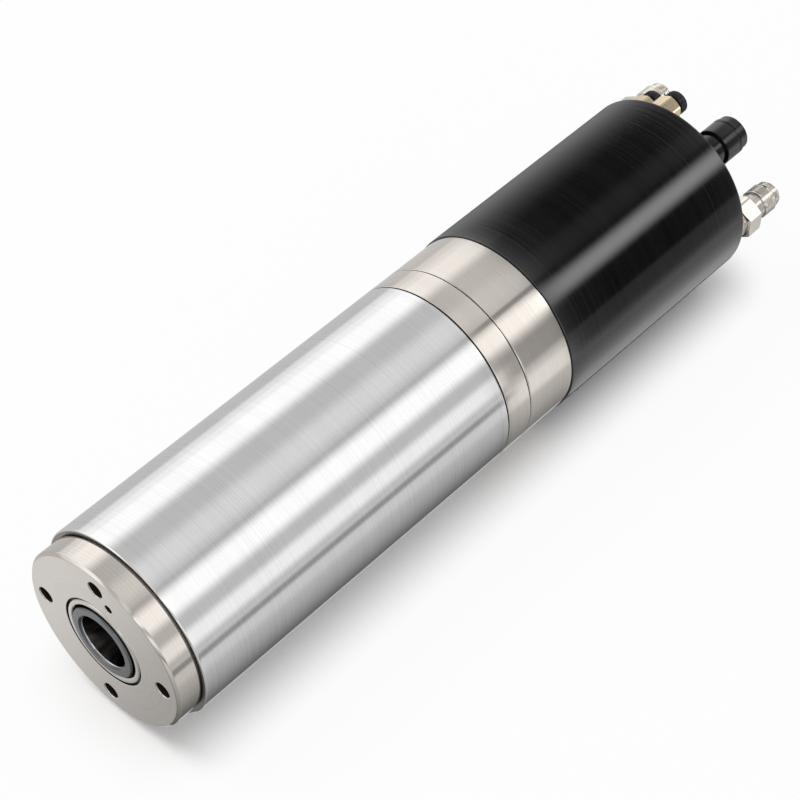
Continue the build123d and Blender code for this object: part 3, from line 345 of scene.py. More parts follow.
# -------------------- finishes
def finish(name, light, dark, roughness, metallic, grain="handling", fineness=1.0, depth=0.05, shine=0.5):
    """A finish whose tone, roughness and height follow its grain: brushed, turned or handling marks.
    Roughness gives its values in the grain's hollows and on its crests; shine is the specular level."""
    material = bpy.data.materials.new(name)
    material.use_nodes = True
    tree = material.node_tree
    nodes, links = tree.nodes, tree.links
    shader = nodes["Principled BSDF"]
    place = nodes.new("ShaderNodeTexCoord").outputs["Object"]
    handling = nodes.new("ShaderNodeGroup")
    handling.node_tree = HANDLING
    links.new(place, handling.inputs["Place"])
    if grain in ("brushed", "turned"):
        lines = nodes.new("ShaderNodeGroup")
        lines.node_tree = BRUSHING if grain == "brushed" else TURNING
        links.new(place, lines.inputs["Place"])
        lines.inputs["Fineness"].default_value = fineness
        fine, broad = lines.outputs[0], lines.outputs[1]
    else:
        handling.inputs["Size"].default_value = 40.0 * fineness
        fine, broad = handling.outputs["Specks"], handling.outputs["Patches"]
    tone = nodes.new("ShaderNodeMix")
    tone.data_type = "RGBA"
    tone.inputs["A"].default_value = (*dark, 1.0)
    tone.inputs["B"].default_value = (*light, 1.0)
    blend = math_node(tree, "ADD", math_node(tree, "MULTIPLY", fine, 0.8), math_node(tree, "MULTIPLY", broad, 0.2))
    links.new(mapped(tree, blend, 0.3, 0.65, 0.0, 1.0), tone.inputs["Factor"])
    links.new(tone.outputs["Result"], shader.inputs["Base Color"])
    rough = math_node(tree, "ADD", mapped(tree, fine, *NOISE_RANGE, *roughness),
                      mapped(tree, handling.outputs["Patches"], *NOISE_RANGE, -ROUGHNESS_SPREAD, ROUGHNESS_SPREAD))
    links.new(rough, shader.inputs["Roughness"])
    bump = nodes.new("ShaderNodeBump")
    bump.inputs["Strength"].default_value = depth
    bump.inputs["Distance"].default_value = 0.0001
    links.new(fine, bump.inputs["Height"])
    links.new(bump.outputs["Normal"], shader.inputs["Normal"])
    shader.inputs["Metallic"].default_value = metallic
    shader.inputs["Specular IOR Level"].default_value = shine
    return material


aluminium = finish("brushed_aluminium", (0.925, 0.92, 0.92), (0.78, 0.775, 0.775), (0.08, 0.12), 1.0, "brushed",
                   1.0, 0.012)
nickel_side = finish("nickel_turned_side", (0.83, 0.775, 0.715), (0.71, 0.66, 0.61), (0.06, 0.10), 1.0,
                     "brushed", 1.2, 0.012)
nickel_face = finish("nickel_turned_face", (0.80, 0.75, 0.695), (0.70, 0.655, 0.605), (0.17, 0.22), 1.0,
                     "turned", 1.0, 0.012)
nickel_fitting = finish("bright_nickel", (0.86, 0.81, 0.75), (0.80, 0.75, 0.69), (0.10, 0.15), 1.0, "handling",
                        1.6, 0.01)
# Painted shade: a near-black finish put in the holes, the seam grooves, the gap behind the flange and the far taper,
# where shade falls.
painted_shade_black = finish("painted_groove_shade", (0.022, 0.021, 0.020), (0.010, 0.010, 0.010), (0.40, 0.50), 0.5,
                      "handling", 3.0, 0.03)
black_anodised = finish("black_anodised", (0.0002, 0.0002, 0.0003), (0.0080, 0.0080, 0.0086), (0.14, 0.06), 0.0,
                        "brushed", 0.8, 0.015, 1.0)
black_face = finish("black_anodised_face", (0.007, 0.007, 0.008), (0.004, 0.004, 0.005), (0.22, 0.30), 0.0,
                    "turned", 1.0, 0.05)
ground_steel = finish("ground_steel", (0.20, 0.205, 0.21), (0.15, 0.155, 0.16), (0.16, 0.22), 1.0, "turned", 1.4,
                      0.03)
bore_steel = finish("polished_bore", (0.22, 0.215, 0.21), (0.17, 0.165, 0.16), (0.08, 0.12), 1.0, "brushed", 1.0,
                    0.03)
screw_steel = finish("black_oxide_screw", (0.030, 0.029, 0.028), (0.015, 0.015, 0.014), (0.30, 0.38), 0.7,
                     "handling", 3.0, 0.02)
bearing_steel = finish("bearing_steel", (0.62, 0.62, 0.63), (0.55, 0.55, 0.56), (0.12, 0.18), 1.0, "handling",
                       1.0, 0.01)
spring_steel = finish("spring_steel", (0.30, 0.27, 0.24), (0.22, 0.20, 0.18), (0.26, 0.34), 1.0, "handling",
                      1.0, 0.02)
brass = finish("turned_brass", (0.92, 0.75, 0.51), (0.86, 0.69, 0.45), (0.13, 0.18), 1.0, "handling", 1.4, 0.01)
black_plastic = finish("black_plastic", (0.008, 0.008, 0.008), (0.005, 0.005, 0.005), (0.20, 0.26), 0.0,
                       "handling", 3.0, 0.01)
connector_black = finish("connector_black", (0.003, 0.003, 0.003), (0.002, 0.002, 0.002), (0.10, 0.14), 0.0,
                         "handling", 2.0, 0.01)
rubber = finish("seal_rubber", (0.022, 0.021, 0.020), (0.014, 0.013, 0.013), (0.55, 0.68), 0.0, "handling", 3.0,
                0.08)
cage_resin = finish("cage_resin", (0.42, 0.28, 0.14), (0.33, 0.21, 0.10), (0.40, 0.50), 0.0, "handling", 3.0,
                    0.05)
laminations = finish("laminations", (0.30, 0.31, 0.33), (0.18, 0.19, 0.20), (0.34, 0.44), 0.9, "brushed", 0.3,
                     0.3)
copper = finish("winding_copper", (0.66, 0.31, 0.17), (0.52, 0.22, 0.11), (0.28, 0.38), 0.9, "handling", 3.0,
                0.15)
inner_aluminium = finish("inner_aluminium", (0.74, 0.745, 0.75), (0.66, 0.665, 0.67), (0.30, 0.38), 1.0,
                         "brushed", 0.6, 0.1)

INNER_FINISHES = {
    inner_aluminium: ("front_bearing_housing", "water_jacket", "rotor_end_rings", "speed_sensor",
                      "position_sensors"),
    rubber: ("jacket_seals", "cylinder_seals", "piston_seals", "water_washers"),
    laminations: ("stator_core", "rotor_core"),
    copper: ("stator_windings",),
    bearing_steel: ("front_outer_rings", "rear_outer_rings", "front_inner_rings", "rear_inner_rings",
                    "outer_ring_spacer", "inner_ring_spacer", "front_balls", "rear_balls"),
    cage_resin: ("front_cages", "rear_cages"),
    spring_steel: ("preload_spring", "disc_springs", "return_spring", "divider_clips"),
    screw_steel: ("head_screws", "front_lock_nut", "rear_lock_nut", "piston_nut", "pickup_ring"),
    ground_steel: ("drawbar", "drawbar_nut", "piston_rod", "rod_sleeve",
                   *(f"gripper_jaw_{number}" for number in range(1, 5))),
    black_face: ("release_pistons", "cylinder_divider"),
}
for material, names in INNER_FINISHES.items():
    for node_name in names:
        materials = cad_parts[node_name].data.materials
        materials.clear()
        materials.append(material)


def dressed(piece, material, body, slot, *nodes):
    """Gives the piece its finish, the body it moves with and the CAD nodes that it stands for."""
    if material is not None:
        piece.data.materials.clear()
        piece.data.materials.append(material)
    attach(piece, body)
    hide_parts(*nodes)
    return piece


# The springs that shorten towards their fixed front ends as their joints move through their strokes. Each gets a
# copy of its CAD mesh of its own, in spring steel, on the body it moves with; nothing here flattens it.
PISTON_STROKE, DRAWBAR_STROKE = 0.007, 0.006
for node_name, piece_name, body, joint, stroke in (
        ("return_spring", "return_coil_spring", "housing", "piston_slide", PISTON_STROKE),
        ("disc_springs", "disc_spring_stack", "shaft", "drawbar_slide", DRAWBAR_STROKE)):
    spring = new_object(piece_name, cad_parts[node_name].data.copy())
    dressed(spring, spring_steel, body, "spring_steel", node_name)
    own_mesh(spring)


# -------------------- repeated pieces
def tree_with(name, sockets):
    """An empty geometry tree with named inputs, its input and output nodes."""
    tree = bpy.data.node_groups.new(name, "GeometryNodeTree")
    keys = {}
    for label, kind, value in sockets:
        socket = tree.interface.new_socket(label, in_out="INPUT", socket_type="NodeSocket" + kind)
        if value is not None:
            socket.default_value = value
        keys[label] = socket.identifier
    tree.interface.new_socket("Geometry", in_out="OUTPUT", socket_type="NodeSocketGeometry")
    return tree, keys, tree.nodes.new("NodeGroupInput"), tree.nodes.new("NodeGroupOutput")


def close_tree(tree, given, out, instances):
    """Ends a tree with Realize Instances and Set Material."""
    real = tree.nodes.new("GeometryNodeRealizeInstances")
    paint = tree.nodes.new("GeometryNodeSetMaterial")
    tree.links.new(instances, real.inputs["Geometry"])
    tree.links.new(real.outputs["Geometry"], paint.inputs["Geometry"])
    tree.links.new(given.outputs["Finish"], paint.inputs["Material"])
    tree.links.new(paint.outputs["Geometry"], out.inputs["Geometry"])


def piece_on_points(tree, given, points):
    """Sets one copy of the given piece on each point."""
    info = tree.nodes.new("GeometryNodeObjectInfo")
    tree.links.new(given.outputs["Piece"], info.inputs["Object"])
    on_points = tree.nodes.new("GeometryNodeInstanceOnPoints")
    tree.links.new(points, on_points.inputs["Points"])
    tree.links.new(info.outputs["Geometry"], on_points.inputs["Instance"])
    return on_points


def make_places_tree():
    """Sets one copy of a piece on every point of the mesh that carries the modifier."""
    tree, keys, given, out = tree_with("piece_at_each_place", [
        ("Places", "Geometry", None), ("Piece", "Object", None), ("Finish", "Material", None)])
    close_tree(tree, given, out, piece_on_points(tree, given, given.outputs["Places"]).outputs["Instances"])
    return tree, keys


def make_ring_tree():
    """Adds a number of copies of a piece round a line along X, each turned to face outwards."""
    tree, keys, given, out = tree_with("pieces_round_axis", [
        ("Base", "Geometry", None), ("Piece", "Object", None), ("Count", "Int", 12), ("Radius", "Float", 0.01),
        ("Along", "Float", 0.0), ("Side", "Vector", None), ("Finish", "Material", None)])
    nodes, links = tree.nodes, tree.links
    line = nodes.new("GeometryNodeMeshLine")
    links.new(given.outputs["Count"], line.inputs["Count"])
    share = math_node(tree, "DIVIDE", nodes.new("GeometryNodeInputIndex").outputs[0], given.outputs["Count"])
    angle = math_node(tree, "MULTIPLY", share, 2 * math.pi)
    across, up = (math_node(tree, "MULTIPLY", math_node(tree, part, angle), given.outputs["Radius"])
                  for part in ("COSINE", "SINE"))
    shift = nodes.new("ShaderNodeVectorMath")
    shift.operation = "ADD"
    links.new(combined(tree, given.outputs["Along"], across, up), shift.inputs[0])
    links.new(given.outputs["Side"], shift.inputs[1])
    put = nodes.new("GeometryNodeSetPosition")
    links.new(line.outputs["Mesh"], put.inputs["Geometry"])
    links.new(shift.outputs[0], put.inputs["Position"])
    on_points = piece_on_points(tree, given, put.outputs["Geometry"])
    links.new(combined(tree, angle), on_points.inputs["Rotation"])
    both = nodes.new("GeometryNodeJoinGeometry")
    links.new(on_points.outputs["Instances"], both.inputs[0])
    links.new(given.outputs["Base"], both.inputs[0])
    close_tree(tree, given, out, both.outputs[0])
    return tree, keys


PLACES_TREE, RING_TREE = make_places_tree(), make_ring_tree()


def grown(piece, recipe, helpers, **values):
    """Runs one of the trees on the piece with the given input values and leaves a plain mesh."""
    tree, keys = recipe
    modifier = piece.modifiers.new("repeat", "NODES")
    modifier.node_group = tree
    for label, value in values.items():
        modifier[keys[label]] = value
    return made_plain(piece, helpers)


def at_places(name, piece, places, finish_material):
    """Copies of a piece at the (x, y, z) places in millimetres, as one mesh."""
    return grown(plain_mesh(name, places, [], MM), PLACES_TREE, [piece], Piece=piece, Finish=finish_material)


def paint_where(piece, materials, choose):
    """Gives each face one of the finishes, by its middle's x and radius and how far it faces along X."""
    piece.data.materials.clear()
    for material in materials:
        piece.data.materials.append(material)
    for face in piece.data.polygons:
        middle = face.center / MM
        radius = math.hypot(middle.y, middle.z)
        face.material_index = choose(middle.x, radius, abs(face.normal.x))


# -------------------- nose
def hex_hoop(x, flats):
    """A sharp hexagonal hoop of that width across flats."""
    return lambda turn: (x, flats / 2 / math.cos(math.radians((turn + 30.0) % 60.0 - 30.0)))


def socket_screw(name, shank_length, rear=False):
    """A socket head screw with its top face at X zero, the head and shank going into the work."""
    into = -1.0 if rear else 1.0
    head, flats = SCREW_HEAD_RADIUS, SCREW_SOCKET_FLATS
    tip = SCREW_HEAD_HEIGHT + shank_length
    hoops = [hoop(into * (SCREW_SOCKET_DEPTH + 0.5), 0.0), hex_hoop(into * SCREW_SOCKET_DEPTH, flats),
             hex_hoop(into * 0.15, flats), hoop(0.0, flats / math.sqrt(3) + 0.2), hoop(0.0, head - 0.5),
             hoop(into * 0.12, head - 0.18), hoop(into * 0.45, head), hoop(into * (SCREW_HEAD_HEIGHT - 0.2), head),
             hoop(into * SCREW_HEAD_HEIGHT, head - 0.2), hoop(into * SCREW_HEAD_HEIGHT, SCREW_SHANK_RADIUS),
             hoop(into * (tip - 0.5), SCREW_SHANK_RADIUS), hoop(into * tip, SCREW_SHANK_RADIUS - 0.5),
             hoop(into * tip, 0.0)]
    return lofted(name, hoops, steps=48, closed=False)


def bore_cutter(name, x_start, x_end, radius, mouth, place, steps=64):
    """A cutter for a hole that opens at x_start, its mouth bevelled and rounded by that much."""
    hoops = [hoop(x_start - 2.0, 0.0), hoop(x_start - 2.0, radius + mouth * 1.3 + 2.0),
             hoop(x_start - 0.0001, radius + mouth * 1.3), hoop(x_start + mouth * 0.3, radius + mouth * 0.75),
             hoop(x_start + mouth * 0.95, radius + mouth * 0.12), hoop(x_start + mouth * 1.4, radius),
             hoop(x_end - 0.3, radius), hoop(x_end, radius - 0.3), hoop(x_end, 0.0)]
    return lofted(name, hoops, place, steps, closed=False)


HOLE_LIP_X, FLANGE_BACK_X = 0.5, 8.0  # where the painted shade begins inside the holes, and where the back begins
front_flange = turned("nose_flange", [
    (0.0, SEAL_GROOVE_RADIUS, 0.12), (0.0, FLANGE_RADIUS - FLANGE_BEVEL, 0.18),
    (FLANGE_BEVEL, FLANGE_RADIUS, 0.18), (FLANGE_LENGTH, FLANGE_RADIUS, 0.2),
    (FLANGE_LENGTH, FRONT_LIP_RADIUS), (FRONT_LIP_X, FRONT_LIP_RADIUS), (FRONT_LIP_X, FRONT_LIP_BORE),
    (FLANGE_LENGTH, FRONT_LIP_BORE), (FLANGE_LENGTH, SEAL_RING_RADIUS),
    (SEAL_GROOVE_DEPTH, SEAL_RING_RADIUS), (SEAL_GROOVE_DEPTH, SEAL_GROOVE_RADIUS)], steps=ROUND_STEPS)
screw_places = [spot(FLANGE_SCREW_CIRCLE, angle) for angle in (0.0, 90.0, 180.0, 270.0)]
cutters = [bore_cutter("counterbore_cutter", 0.0, COUNTERBORE_DEPTH, COUNTERBORE_RADIUS - 0.3, 0.28, place)
           for place in screw_places]
cutters.append(bore_cutter("air_outlet_cutter", 0.0, AIR_OUTLET_DEPTH, AIR_OUTLET_RADIUS - 0.15, 0.12,
                           spot(AIR_OUTLET_CIRCLE, AIR_OUTLET_ANGLE), 48))
cut(front_flange, cutters)


def flange_finish(x, radius, facing):
    """Painted shade inside the holes and behind the flange, turned on the front face, brushed on the rim."""
    in_hole = HOLE_LIP_X < x < FLANGE_BACK_X and radius < FLANGE_RADIUS - 1.0
    behind = x > FLANGE_BACK_X and radius < FLANGE_RADIUS - 0.6
    return 2 if in_hole or behind else 1 if facing > 0.9 else 0


paint_where(front_flange, [nickel_side, nickel_face, painted_shade_black], flange_finish)
dressed(front_flange, None, "housing", "nickel_plate", "front_flange")

flange_screw = socket_screw("flange_screw", FLANGE_SCREW_SHANK)
flange_screws = at_places("nose_flange_screws", flange_screw,
                          [(COUNTERBORE_DEPTH - SCREW_HEAD_HEIGHT, *place) for place in screw_places], screw_steel)
dressed(flange_screws, screw_steel, "housing", "screw_steel", "flange_screws")

seal_ring = turned("nose_seal_ring_turned", [
    (0.35, SEAL_RING_BORE, 0.1), (0.0, SEAL_RING_BORE + 0.35, 0.1), (0.0, SEAL_RING_RADIUS - 0.35, 0.1),
    (0.35, SEAL_RING_RADIUS, 0.1), (SEAL_RING_LENGTH, SEAL_RING_RADIUS), (SEAL_RING_LENGTH, SEAL_RING_BORE)])
dressed(seal_ring, nickel_face, "housing", "nickel_plate", "nose_seal_ring")

TAPER_SLOPE = 7.0 / 48.0  # change of radius along the taper
TAPER_MOUTH, TAPER_END_X, TAPER_LIT_X = 11.0, 26.0, 9.0  # the taper's far part is painted dark as shade
SHAFT_FRONT_X, SHAFT_REAR_X, SHAFT_NOSE_RADIUS, SHAFT_BORE = -0.8, 193.0, 15.1, 8.2
SLINGER_X, SLINGER_END_X, SLINGER_RADIUS = 6.2, 9.4, 17.8
BEARING_SEAT_X, BEARING_SEAT_RADIUS, FRONT_SHOULDER_RADIUS = 14.0, 12.5, 14.8
ROTOR_SEAT_X, ROTOR_SEAT_END_X, ROTOR_SEAT_RADIUS = 60.0, 150.0, 13.5
REAR_SEAT_X, REAR_SHOULDER_RADIUS = 156.0, 15.0
GUIDE_X, GUIDE_BORE, JAW_BORE = 56.0, 4.07, 7.7
JAW_POCKET_X, JAW_POCKET_END_X, JAW_POCKET_RADIUS = 27.0, 38.0, 9.2


def taper_radius(x):
    """Radius of the tool taper at x."""
    return TAPER_MOUTH - x * TAPER_SLOPE


shaft = turned("hollow_spindle_shaft", [
    (SHAFT_FRONT_X, SHAFT_NOSE_RADIUS - 0.4, 0.1), (-0.4, SHAFT_NOSE_RADIUS, 0.1), (SLINGER_X, SHAFT_NOSE_RADIUS),
    (SLINGER_X, SLINGER_RADIUS), (SLINGER_END_X, SLINGER_RADIUS), (SLINGER_END_X, FRONT_SHOULDER_RADIUS),
    (BEARING_SEAT_X, FRONT_SHOULDER_RADIUS), (BEARING_SEAT_X, BEARING_SEAT_RADIUS),
    (ROTOR_SEAT_X, BEARING_SEAT_RADIUS), (ROTOR_SEAT_X, ROTOR_SEAT_RADIUS), (ROTOR_SEAT_END_X, ROTOR_SEAT_RADIUS),
    (ROTOR_SEAT_END_X, REAR_SHOULDER_RADIUS), (REAR_SEAT_X, REAR_SHOULDER_RADIUS),
    (REAR_SEAT_X, BEARING_SEAT_RADIUS), (SHAFT_REAR_X, BEARING_SEAT_RADIUS, 0.3), (SHAFT_REAR_X, SHAFT_BORE),
    (ROTOR_SEAT_X, SHAFT_BORE), (ROTOR_SEAT_X, GUIDE_BORE), (GUIDE_X, GUIDE_BORE), (GUIDE_X, JAW_BORE),
    (JAW_POCKET_END_X, JAW_BORE), (JAW_POCKET_END_X, JAW_POCKET_RADIUS), (JAW_POCKET_X, JAW_POCKET_RADIUS),
    (JAW_POCKET_X, taper_radius(TAPER_END_X)), (TAPER_END_X, taper_radius(TAPER_END_X)),
    (TAPER_LIT_X, taper_radius(TAPER_LIT_X)), (0.05, TAPER_MOUTH, 0.25),
    (SHAFT_FRONT_X, taper_radius(SHAFT_FRONT_X) + 0.85, 0.1)])


def shaft_finish(x, radius, facing):
    """Polished at the taper's mouth, painted shade deeper in, a painted highlight of lighter bearing steel round the
    mouth, ground outside.
    """
    if x > 0.35 and radius < 12.4:
        return 1 if x < TAPER_LIT_X else 3
    return 2 if x > -0.25 and radius < 11.4 else 0


# The bearing steel on the mouth's bevel is a painted highlight; the near-black deeper in the taper is painted shade.
paint_where(shaft, [ground_steel, bore_steel, bearing_steel, painted_shade_black], shaft_finish)
dressed(shaft, None, "shaft", "ground_steel", "spindle_shaft")

# -------------------- casings
SEAM_GAP, SEAM_DEPTH, SEAM_BEVEL = 0.17, 1.3, 0.2


def front_seam(x, radius):
    """Outline points of a front face that leaves half of a fine dark groove at its rim, then a small bevel."""
    return [(x, radius - SEAM_DEPTH), (x + SEAM_GAP, radius - SEAM_DEPTH),
            (x + SEAM_GAP, radius - SEAM_BEVEL, 0.05), (x + SEAM_GAP + SEAM_BEVEL, radius, 0.08)]


def rear_seam(x, radius, bevel=SEAM_BEVEL):
    """The same at a rear face."""
    return [(x - SEAM_GAP - bevel, radius, 0.08), (x - SEAM_GAP, radius - bevel, 0.05),
            (x - SEAM_GAP, radius - SEAM_DEPTH), (x, radius - SEAM_DEPTH)]


def dark_seams(piece):
    """Plated outside, with painted shade on the walls of the seam grooves."""
    low, high = BODY_RADIUS - SEAM_DEPTH - 0.1, BODY_RADIUS - SEAM_BEVEL - 0.02
    paint_where(piece, [nickel_side, painted_shade_black], lambda x, radius, facing: 1 if low < radius < high else 0)


def housing_finish(x, radius, facing):
    """Painted shade in the rear seam and, in dark spring steel, on the end faces; brushed outside."""
    in_seam = x > HOUSING_REAR_X - 0.3 and radius < BODY_RADIUS - 0.3
    return 2 if in_seam else 1 if facing > 0.9 else 0


motor_housing = turned("motor_housing_tube", [
    (HOUSING_FRONT_X, CASING_BORE), (HOUSING_FRONT_X, BODY_RADIUS - 0.5, 0.15),
    (HOUSING_FRONT_X + 0.5, BODY_RADIUS, 0.25), *rear_seam(HOUSING_REAR_X, BODY_RADIUS, 0.5),
    (HOUSING_REAR_X, CASING_BORE)], steps=ROUND_STEPS)
# The end faces take the dark spring steel finish as painted shade; the rear seam takes the near-black painted shade.
paint_where(motor_housing, [aluminium, spring_steel, painted_shade_black], housing_finish)
dressed(motor_housing, None, "housing", "housing_aluminium", "motor_housing")

RING_FRONT_X, RING_POCKET_X, RING_BORE, RING_POCKET_RADIUS = 154.0, 156.0, 21.0, 23.5
bearing_ring = turned("rear_bearing_ring", [
    (RING_FRONT_X, RING_BORE), (RING_FRONT_X, CASING_BORE), (HOUSING_REAR_X, CASING_BORE),
    *front_seam(HOUSING_REAR_X, BODY_RADIUS), *rear_seam(BEARING_RING_REAR_X, BODY_RADIUS),
    (BEARING_RING_REAR_X, RING_POCKET_RADIUS), (RING_POCKET_X, RING_POCKET_RADIUS), (RING_POCKET_X, RING_BORE)],
    steps=ROUND_STEPS)
dark_seams(bearing_ring)
dressed(bearing_ring, None, "housing", "nickel_plate", "rear_bearing_housing")

HEAD_POCKET_X, ROD_BORE = 199.0, 9.07
head_ring = turned("cylinder_head_ring", [
    (BEARING_RING_REAR_X, RING_BORE), *front_seam(BEARING_RING_REAR_X, BODY_RADIUS),
    (HEAD_REAR_X - 0.15, BODY_RADIUS, 0.05), (HEAD_REAR_X, BODY_RADIUS - 0.15, 0.05), (HEAD_REAR_X, ROD_BORE),
    (HEAD_POCKET_X, ROD_BORE), (HEAD_POCKET_X, RING_BORE)], steps=ROUND_STEPS)
dark_seams(head_ring)
dressed(head_ring, None, "housing", "nickel_plate", "cylinder_head")

rear_cover = turned("black_cylinder_barrel", [
    (HEAD_REAR_X, CYLINDER_RADIUS), *front_seam(HEAD_REAR_X, COVER_RADIUS),
    (COVER_REAR_X - 0.6, COVER_RADIUS, 0.2), (COVER_REAR_X, COVER_RADIUS - 0.6, 0.2),
    (COVER_REAR_X, PLATE_RADIUS, 0.15), (PLATE_FRONT_X, PLATE_RADIUS), (PLATE_FRONT_X, CYLINDER_RADIUS)],
    steps=ROUND_STEPS)
dressed(rear_cover, black_anodised, "housing", "black_anodised", "rear_cover")

end_plate = turned("rear_end_plate", [
    (PILOT_FRONT_X, 0.0), (PILOT_FRONT_X, CYLINDER_RADIUS), (PLATE_FRONT_X, CYLINDER_RADIUS),
    (PLATE_FRONT_X, PLATE_RADIUS), (PLATE_REAR_X - 0.35, PLATE_RADIUS, 0.1),
    (PLATE_REAR_X, PLATE_RADIUS - 0.35, 0.1), (PLATE_REAR_X, 0.0)], steps=ROUND_STEPS)
tie_places = [spot(TIE_BOLT_CIRCLE, angle) for angle in TIE_BOLT_ANGLES]
recess_floor_x = PLATE_REAR_X - SCREW_HEAD_HEIGHT
cutters = [lofted("tie_bolt_cutter", [
    hoop(PLATE_REAR_X + 2.0, 0.0), hoop(PLATE_REAR_X + 2.0, 5.8), hoop(PLATE_REAR_X, 3.9),
    hoop(PLATE_REAR_X - 0.3, 3.6), hoop(recess_floor_x, 3.6), hoop(recess_floor_x, 0.0)],
    place, 64, closed=False) for place in tie_places]
cut(end_plate, cutters)
dressed(end_plate, black_face, "housing", "black_anodised", "end_plate")

tie_bolt = socket_screw("tie_bolt", TIE_BOLT_SHANK, rear=True)
tie_bolts = at_places("rear_tie_bolts", tie_bolt, [(PLATE_REAR_X, *place) for place in tie_places], screw_steel)
dressed(tie_bolts, screw_steel, "housing", "screw_steel", "tie_bolts")

# -------------------- water fittings
FITTING_FOOT_X, FITTING_HEX_X, FITTING_THREAD_X, FITTING_END_X = 314.2, 323.4, 331.8, 347.3
FITTING_FOOT_FLATS, FITTING_HEX_FLATS, FITTING_BARREL_RADIUS, FITTING_THREAD_RADIUS = 14.0, 15.0, 6.55, 5.7
WATER_WAY_RADIUS, WATER_WAY_DEPTH = 3.2, 16.0
UNION_NUT_X, UNION_NUT_END_X, UNION_NUT_RADIUS = 336.8, 343.3, 6.4


def fitting_body(name, place):
    """Foot, barrel with a fine thread, hexagon and threaded end, with the water way through it."""
    hoops = [hoop(PLATE_REAR_X - 7.0, 2.8), hoop(PLATE_REAR_X - 7.0, 4.9), hoop(FITTING_FOOT_X, 4.9),
             hoop(FITTING_FOOT_X, 6.35)]
    hoops += nut_hoops(FITTING_FOOT_X, FITTING_FOOT_X + 3.6, FITTING_FOOT_FLATS)
    hoops += thread_hoops(FITTING_FOOT_X + 3.7, FITTING_HEX_X - 0.7, FITTING_BARREL_RADIUS, 0.4, 0.9)
    hoops += [hoop(FITTING_HEX_X - 0.65, 5.9), hoop(FITTING_HEX_X, 5.9)]
    hoops += nut_hoops(FITTING_HEX_X, FITTING_THREAD_X, FITTING_HEX_FLATS)
    hoops += [hoop(FITTING_THREAD_X, 5.2)]
    hoops += thread_hoops(FITTING_THREAD_X + 0.3, FITTING_END_X - 0.2, FITTING_THREAD_RADIUS, 0.4, 1.0)
    hoops += [hoop(FITTING_END_X, 5.1), hoop(FITTING_END_X, WATER_WAY_RADIUS + 0.25),
              hoop(FITTING_END_X - 0.25, WATER_WAY_RADIUS), hoop(FITTING_END_X - WATER_WAY_DEPTH, WATER_WAY_RADIUS),
              hoop(FITTING_END_X - WATER_WAY_DEPTH - 0.4, WATER_WAY_RADIUS - 0.4)]
    return lofted(name, hoops, place)


water_places = [spot(PORT_CIRCLE, angle) for angle in WATER_ANGLES]
fittings = joined("water_fitting_pair", [fitting_body("water_fitting", place) for place in water_places])
dressed(fittings, nickel_fitting, "housing", "nickel_plate", "water_fitting_bodies")


def union_nut(place):
    """A round nut with fine grooves, open at both ends."""
    start = [hoop(UNION_NUT_X + 0.25, 5.72), hoop(UNION_NUT_X, 5.95), hoop(UNION_NUT_X, 6.2),
             hoop(UNION_NUT_X + 0.2, UNION_NUT_RADIUS)]
    grooves = thread_hoops(UNION_NUT_X + 0.6, UNION_NUT_END_X - 0.6, UNION_NUT_RADIUS, 0.32, 0.9)
    end = [hoop(UNION_NUT_END_X - 0.2, UNION_NUT_RADIUS), hoop(UNION_NUT_END_X, 6.2), hoop(UNION_NUT_END_X, 5.95),
           hoop(UNION_NUT_END_X - 0.25, 5.72)]
    return lofted("union_nut", start + grooves + end, place)


nuts = joined("union_nut_pair", [union_nut(place) for place in water_places])
dressed(nuts, nickel_fitting, "housing", "nickel_plate", "water_union_nuts")

# -------------------- air fittings
AIR_HEX_END_X, AIR_COLLAR_RIM_X, AIR_COLLAR_END_X, AIR_COLLAR_RADIUS = 325.7, 327.0, 330.8, 4.75
AIR_HEX_FLATS, AIR_WAY_RADIUS, COLLAR_RIBS = 10.4, 3.05, 36


def air_body(name, place):
    """Threaded foot, hexagon and the socket that the release collar slides in."""
    hoops = [hoop(PLATE_REAR_X - 7.0, 2.0), hoop(PLATE_REAR_X - 7.0, 4.0), hoop(PLATE_REAR_X, 4.0)]
    hoops += nut_hoops(PLATE_REAR_X, AIR_HEX_END_X, AIR_HEX_FLATS, 0.97)
    hoops += [hoop(AIR_HEX_END_X, 4.15), hoop(AIR_HEX_END_X - 0.2, 3.92), hoop(AIR_HEX_END_X - 8.4, 3.92),
              hoop(AIR_HEX_END_X - 8.4, AIR_WAY_RADIUS), hoop(AIR_HEX_END_X - 11.7, AIR_WAY_RADIUS),
              hoop(AIR_HEX_END_X - 11.7, 2.0)]
    return lofted(name, hoops, place)


air_places = [spot(PORT_CIRCLE, angle) for angle in AIR_ANGLES]
air_bodies = joined("air_fitting_pair", [air_body("air_fitting", place) for place in air_places])
dressed(air_bodies, brass, "housing", "brass", "air_fitting_bodies")

for number, place in enumerate(air_places, start=1):
    collar = turned(f"air_collar_ribbed_{number}", [
        (AIR_COLLAR_END_X - 11.0, AIR_WAY_RADIUS), (AIR_COLLAR_END_X - 11.0, 3.85, 0.1), (AIR_COLLAR_RIM_X, 3.85),
        (AIR_COLLAR_RIM_X, AIR_COLLAR_RADIUS, 0.15), (AIR_COLLAR_END_X, AIR_COLLAR_RADIUS, 0.3),
        (AIR_COLLAR_END_X, 3.35, 0.1), (AIR_COLLAR_END_X - 0.3, AIR_WAY_RADIUS)], place, 80)
    rib = lofted("collar_rib", [hoop(-1.6, 0.0), hoop(-1.6, 0.17), hoop(-1.4, 0.22), hoop(1.4, 0.22),
                                hoop(1.6, 0.17), hoop(1.6, 0.0)], steps=8, closed=False)
    grown(collar, RING_TREE, [rib], Piece=rib, Count=COLLAR_RIBS, Radius=(AIR_COLLAR_RADIUS + 0.01) * MM,
          Along=(AIR_COLLAR_RIM_X + AIR_COLLAR_END_X) / 2 * MM,
          Side=(0.0, place[0] * MM, place[1] * MM), Finish=black_plastic)
    dressed(collar, black_plastic, f"air_collar_{number}", "black_plastic", f"air_release_collar_{number}")

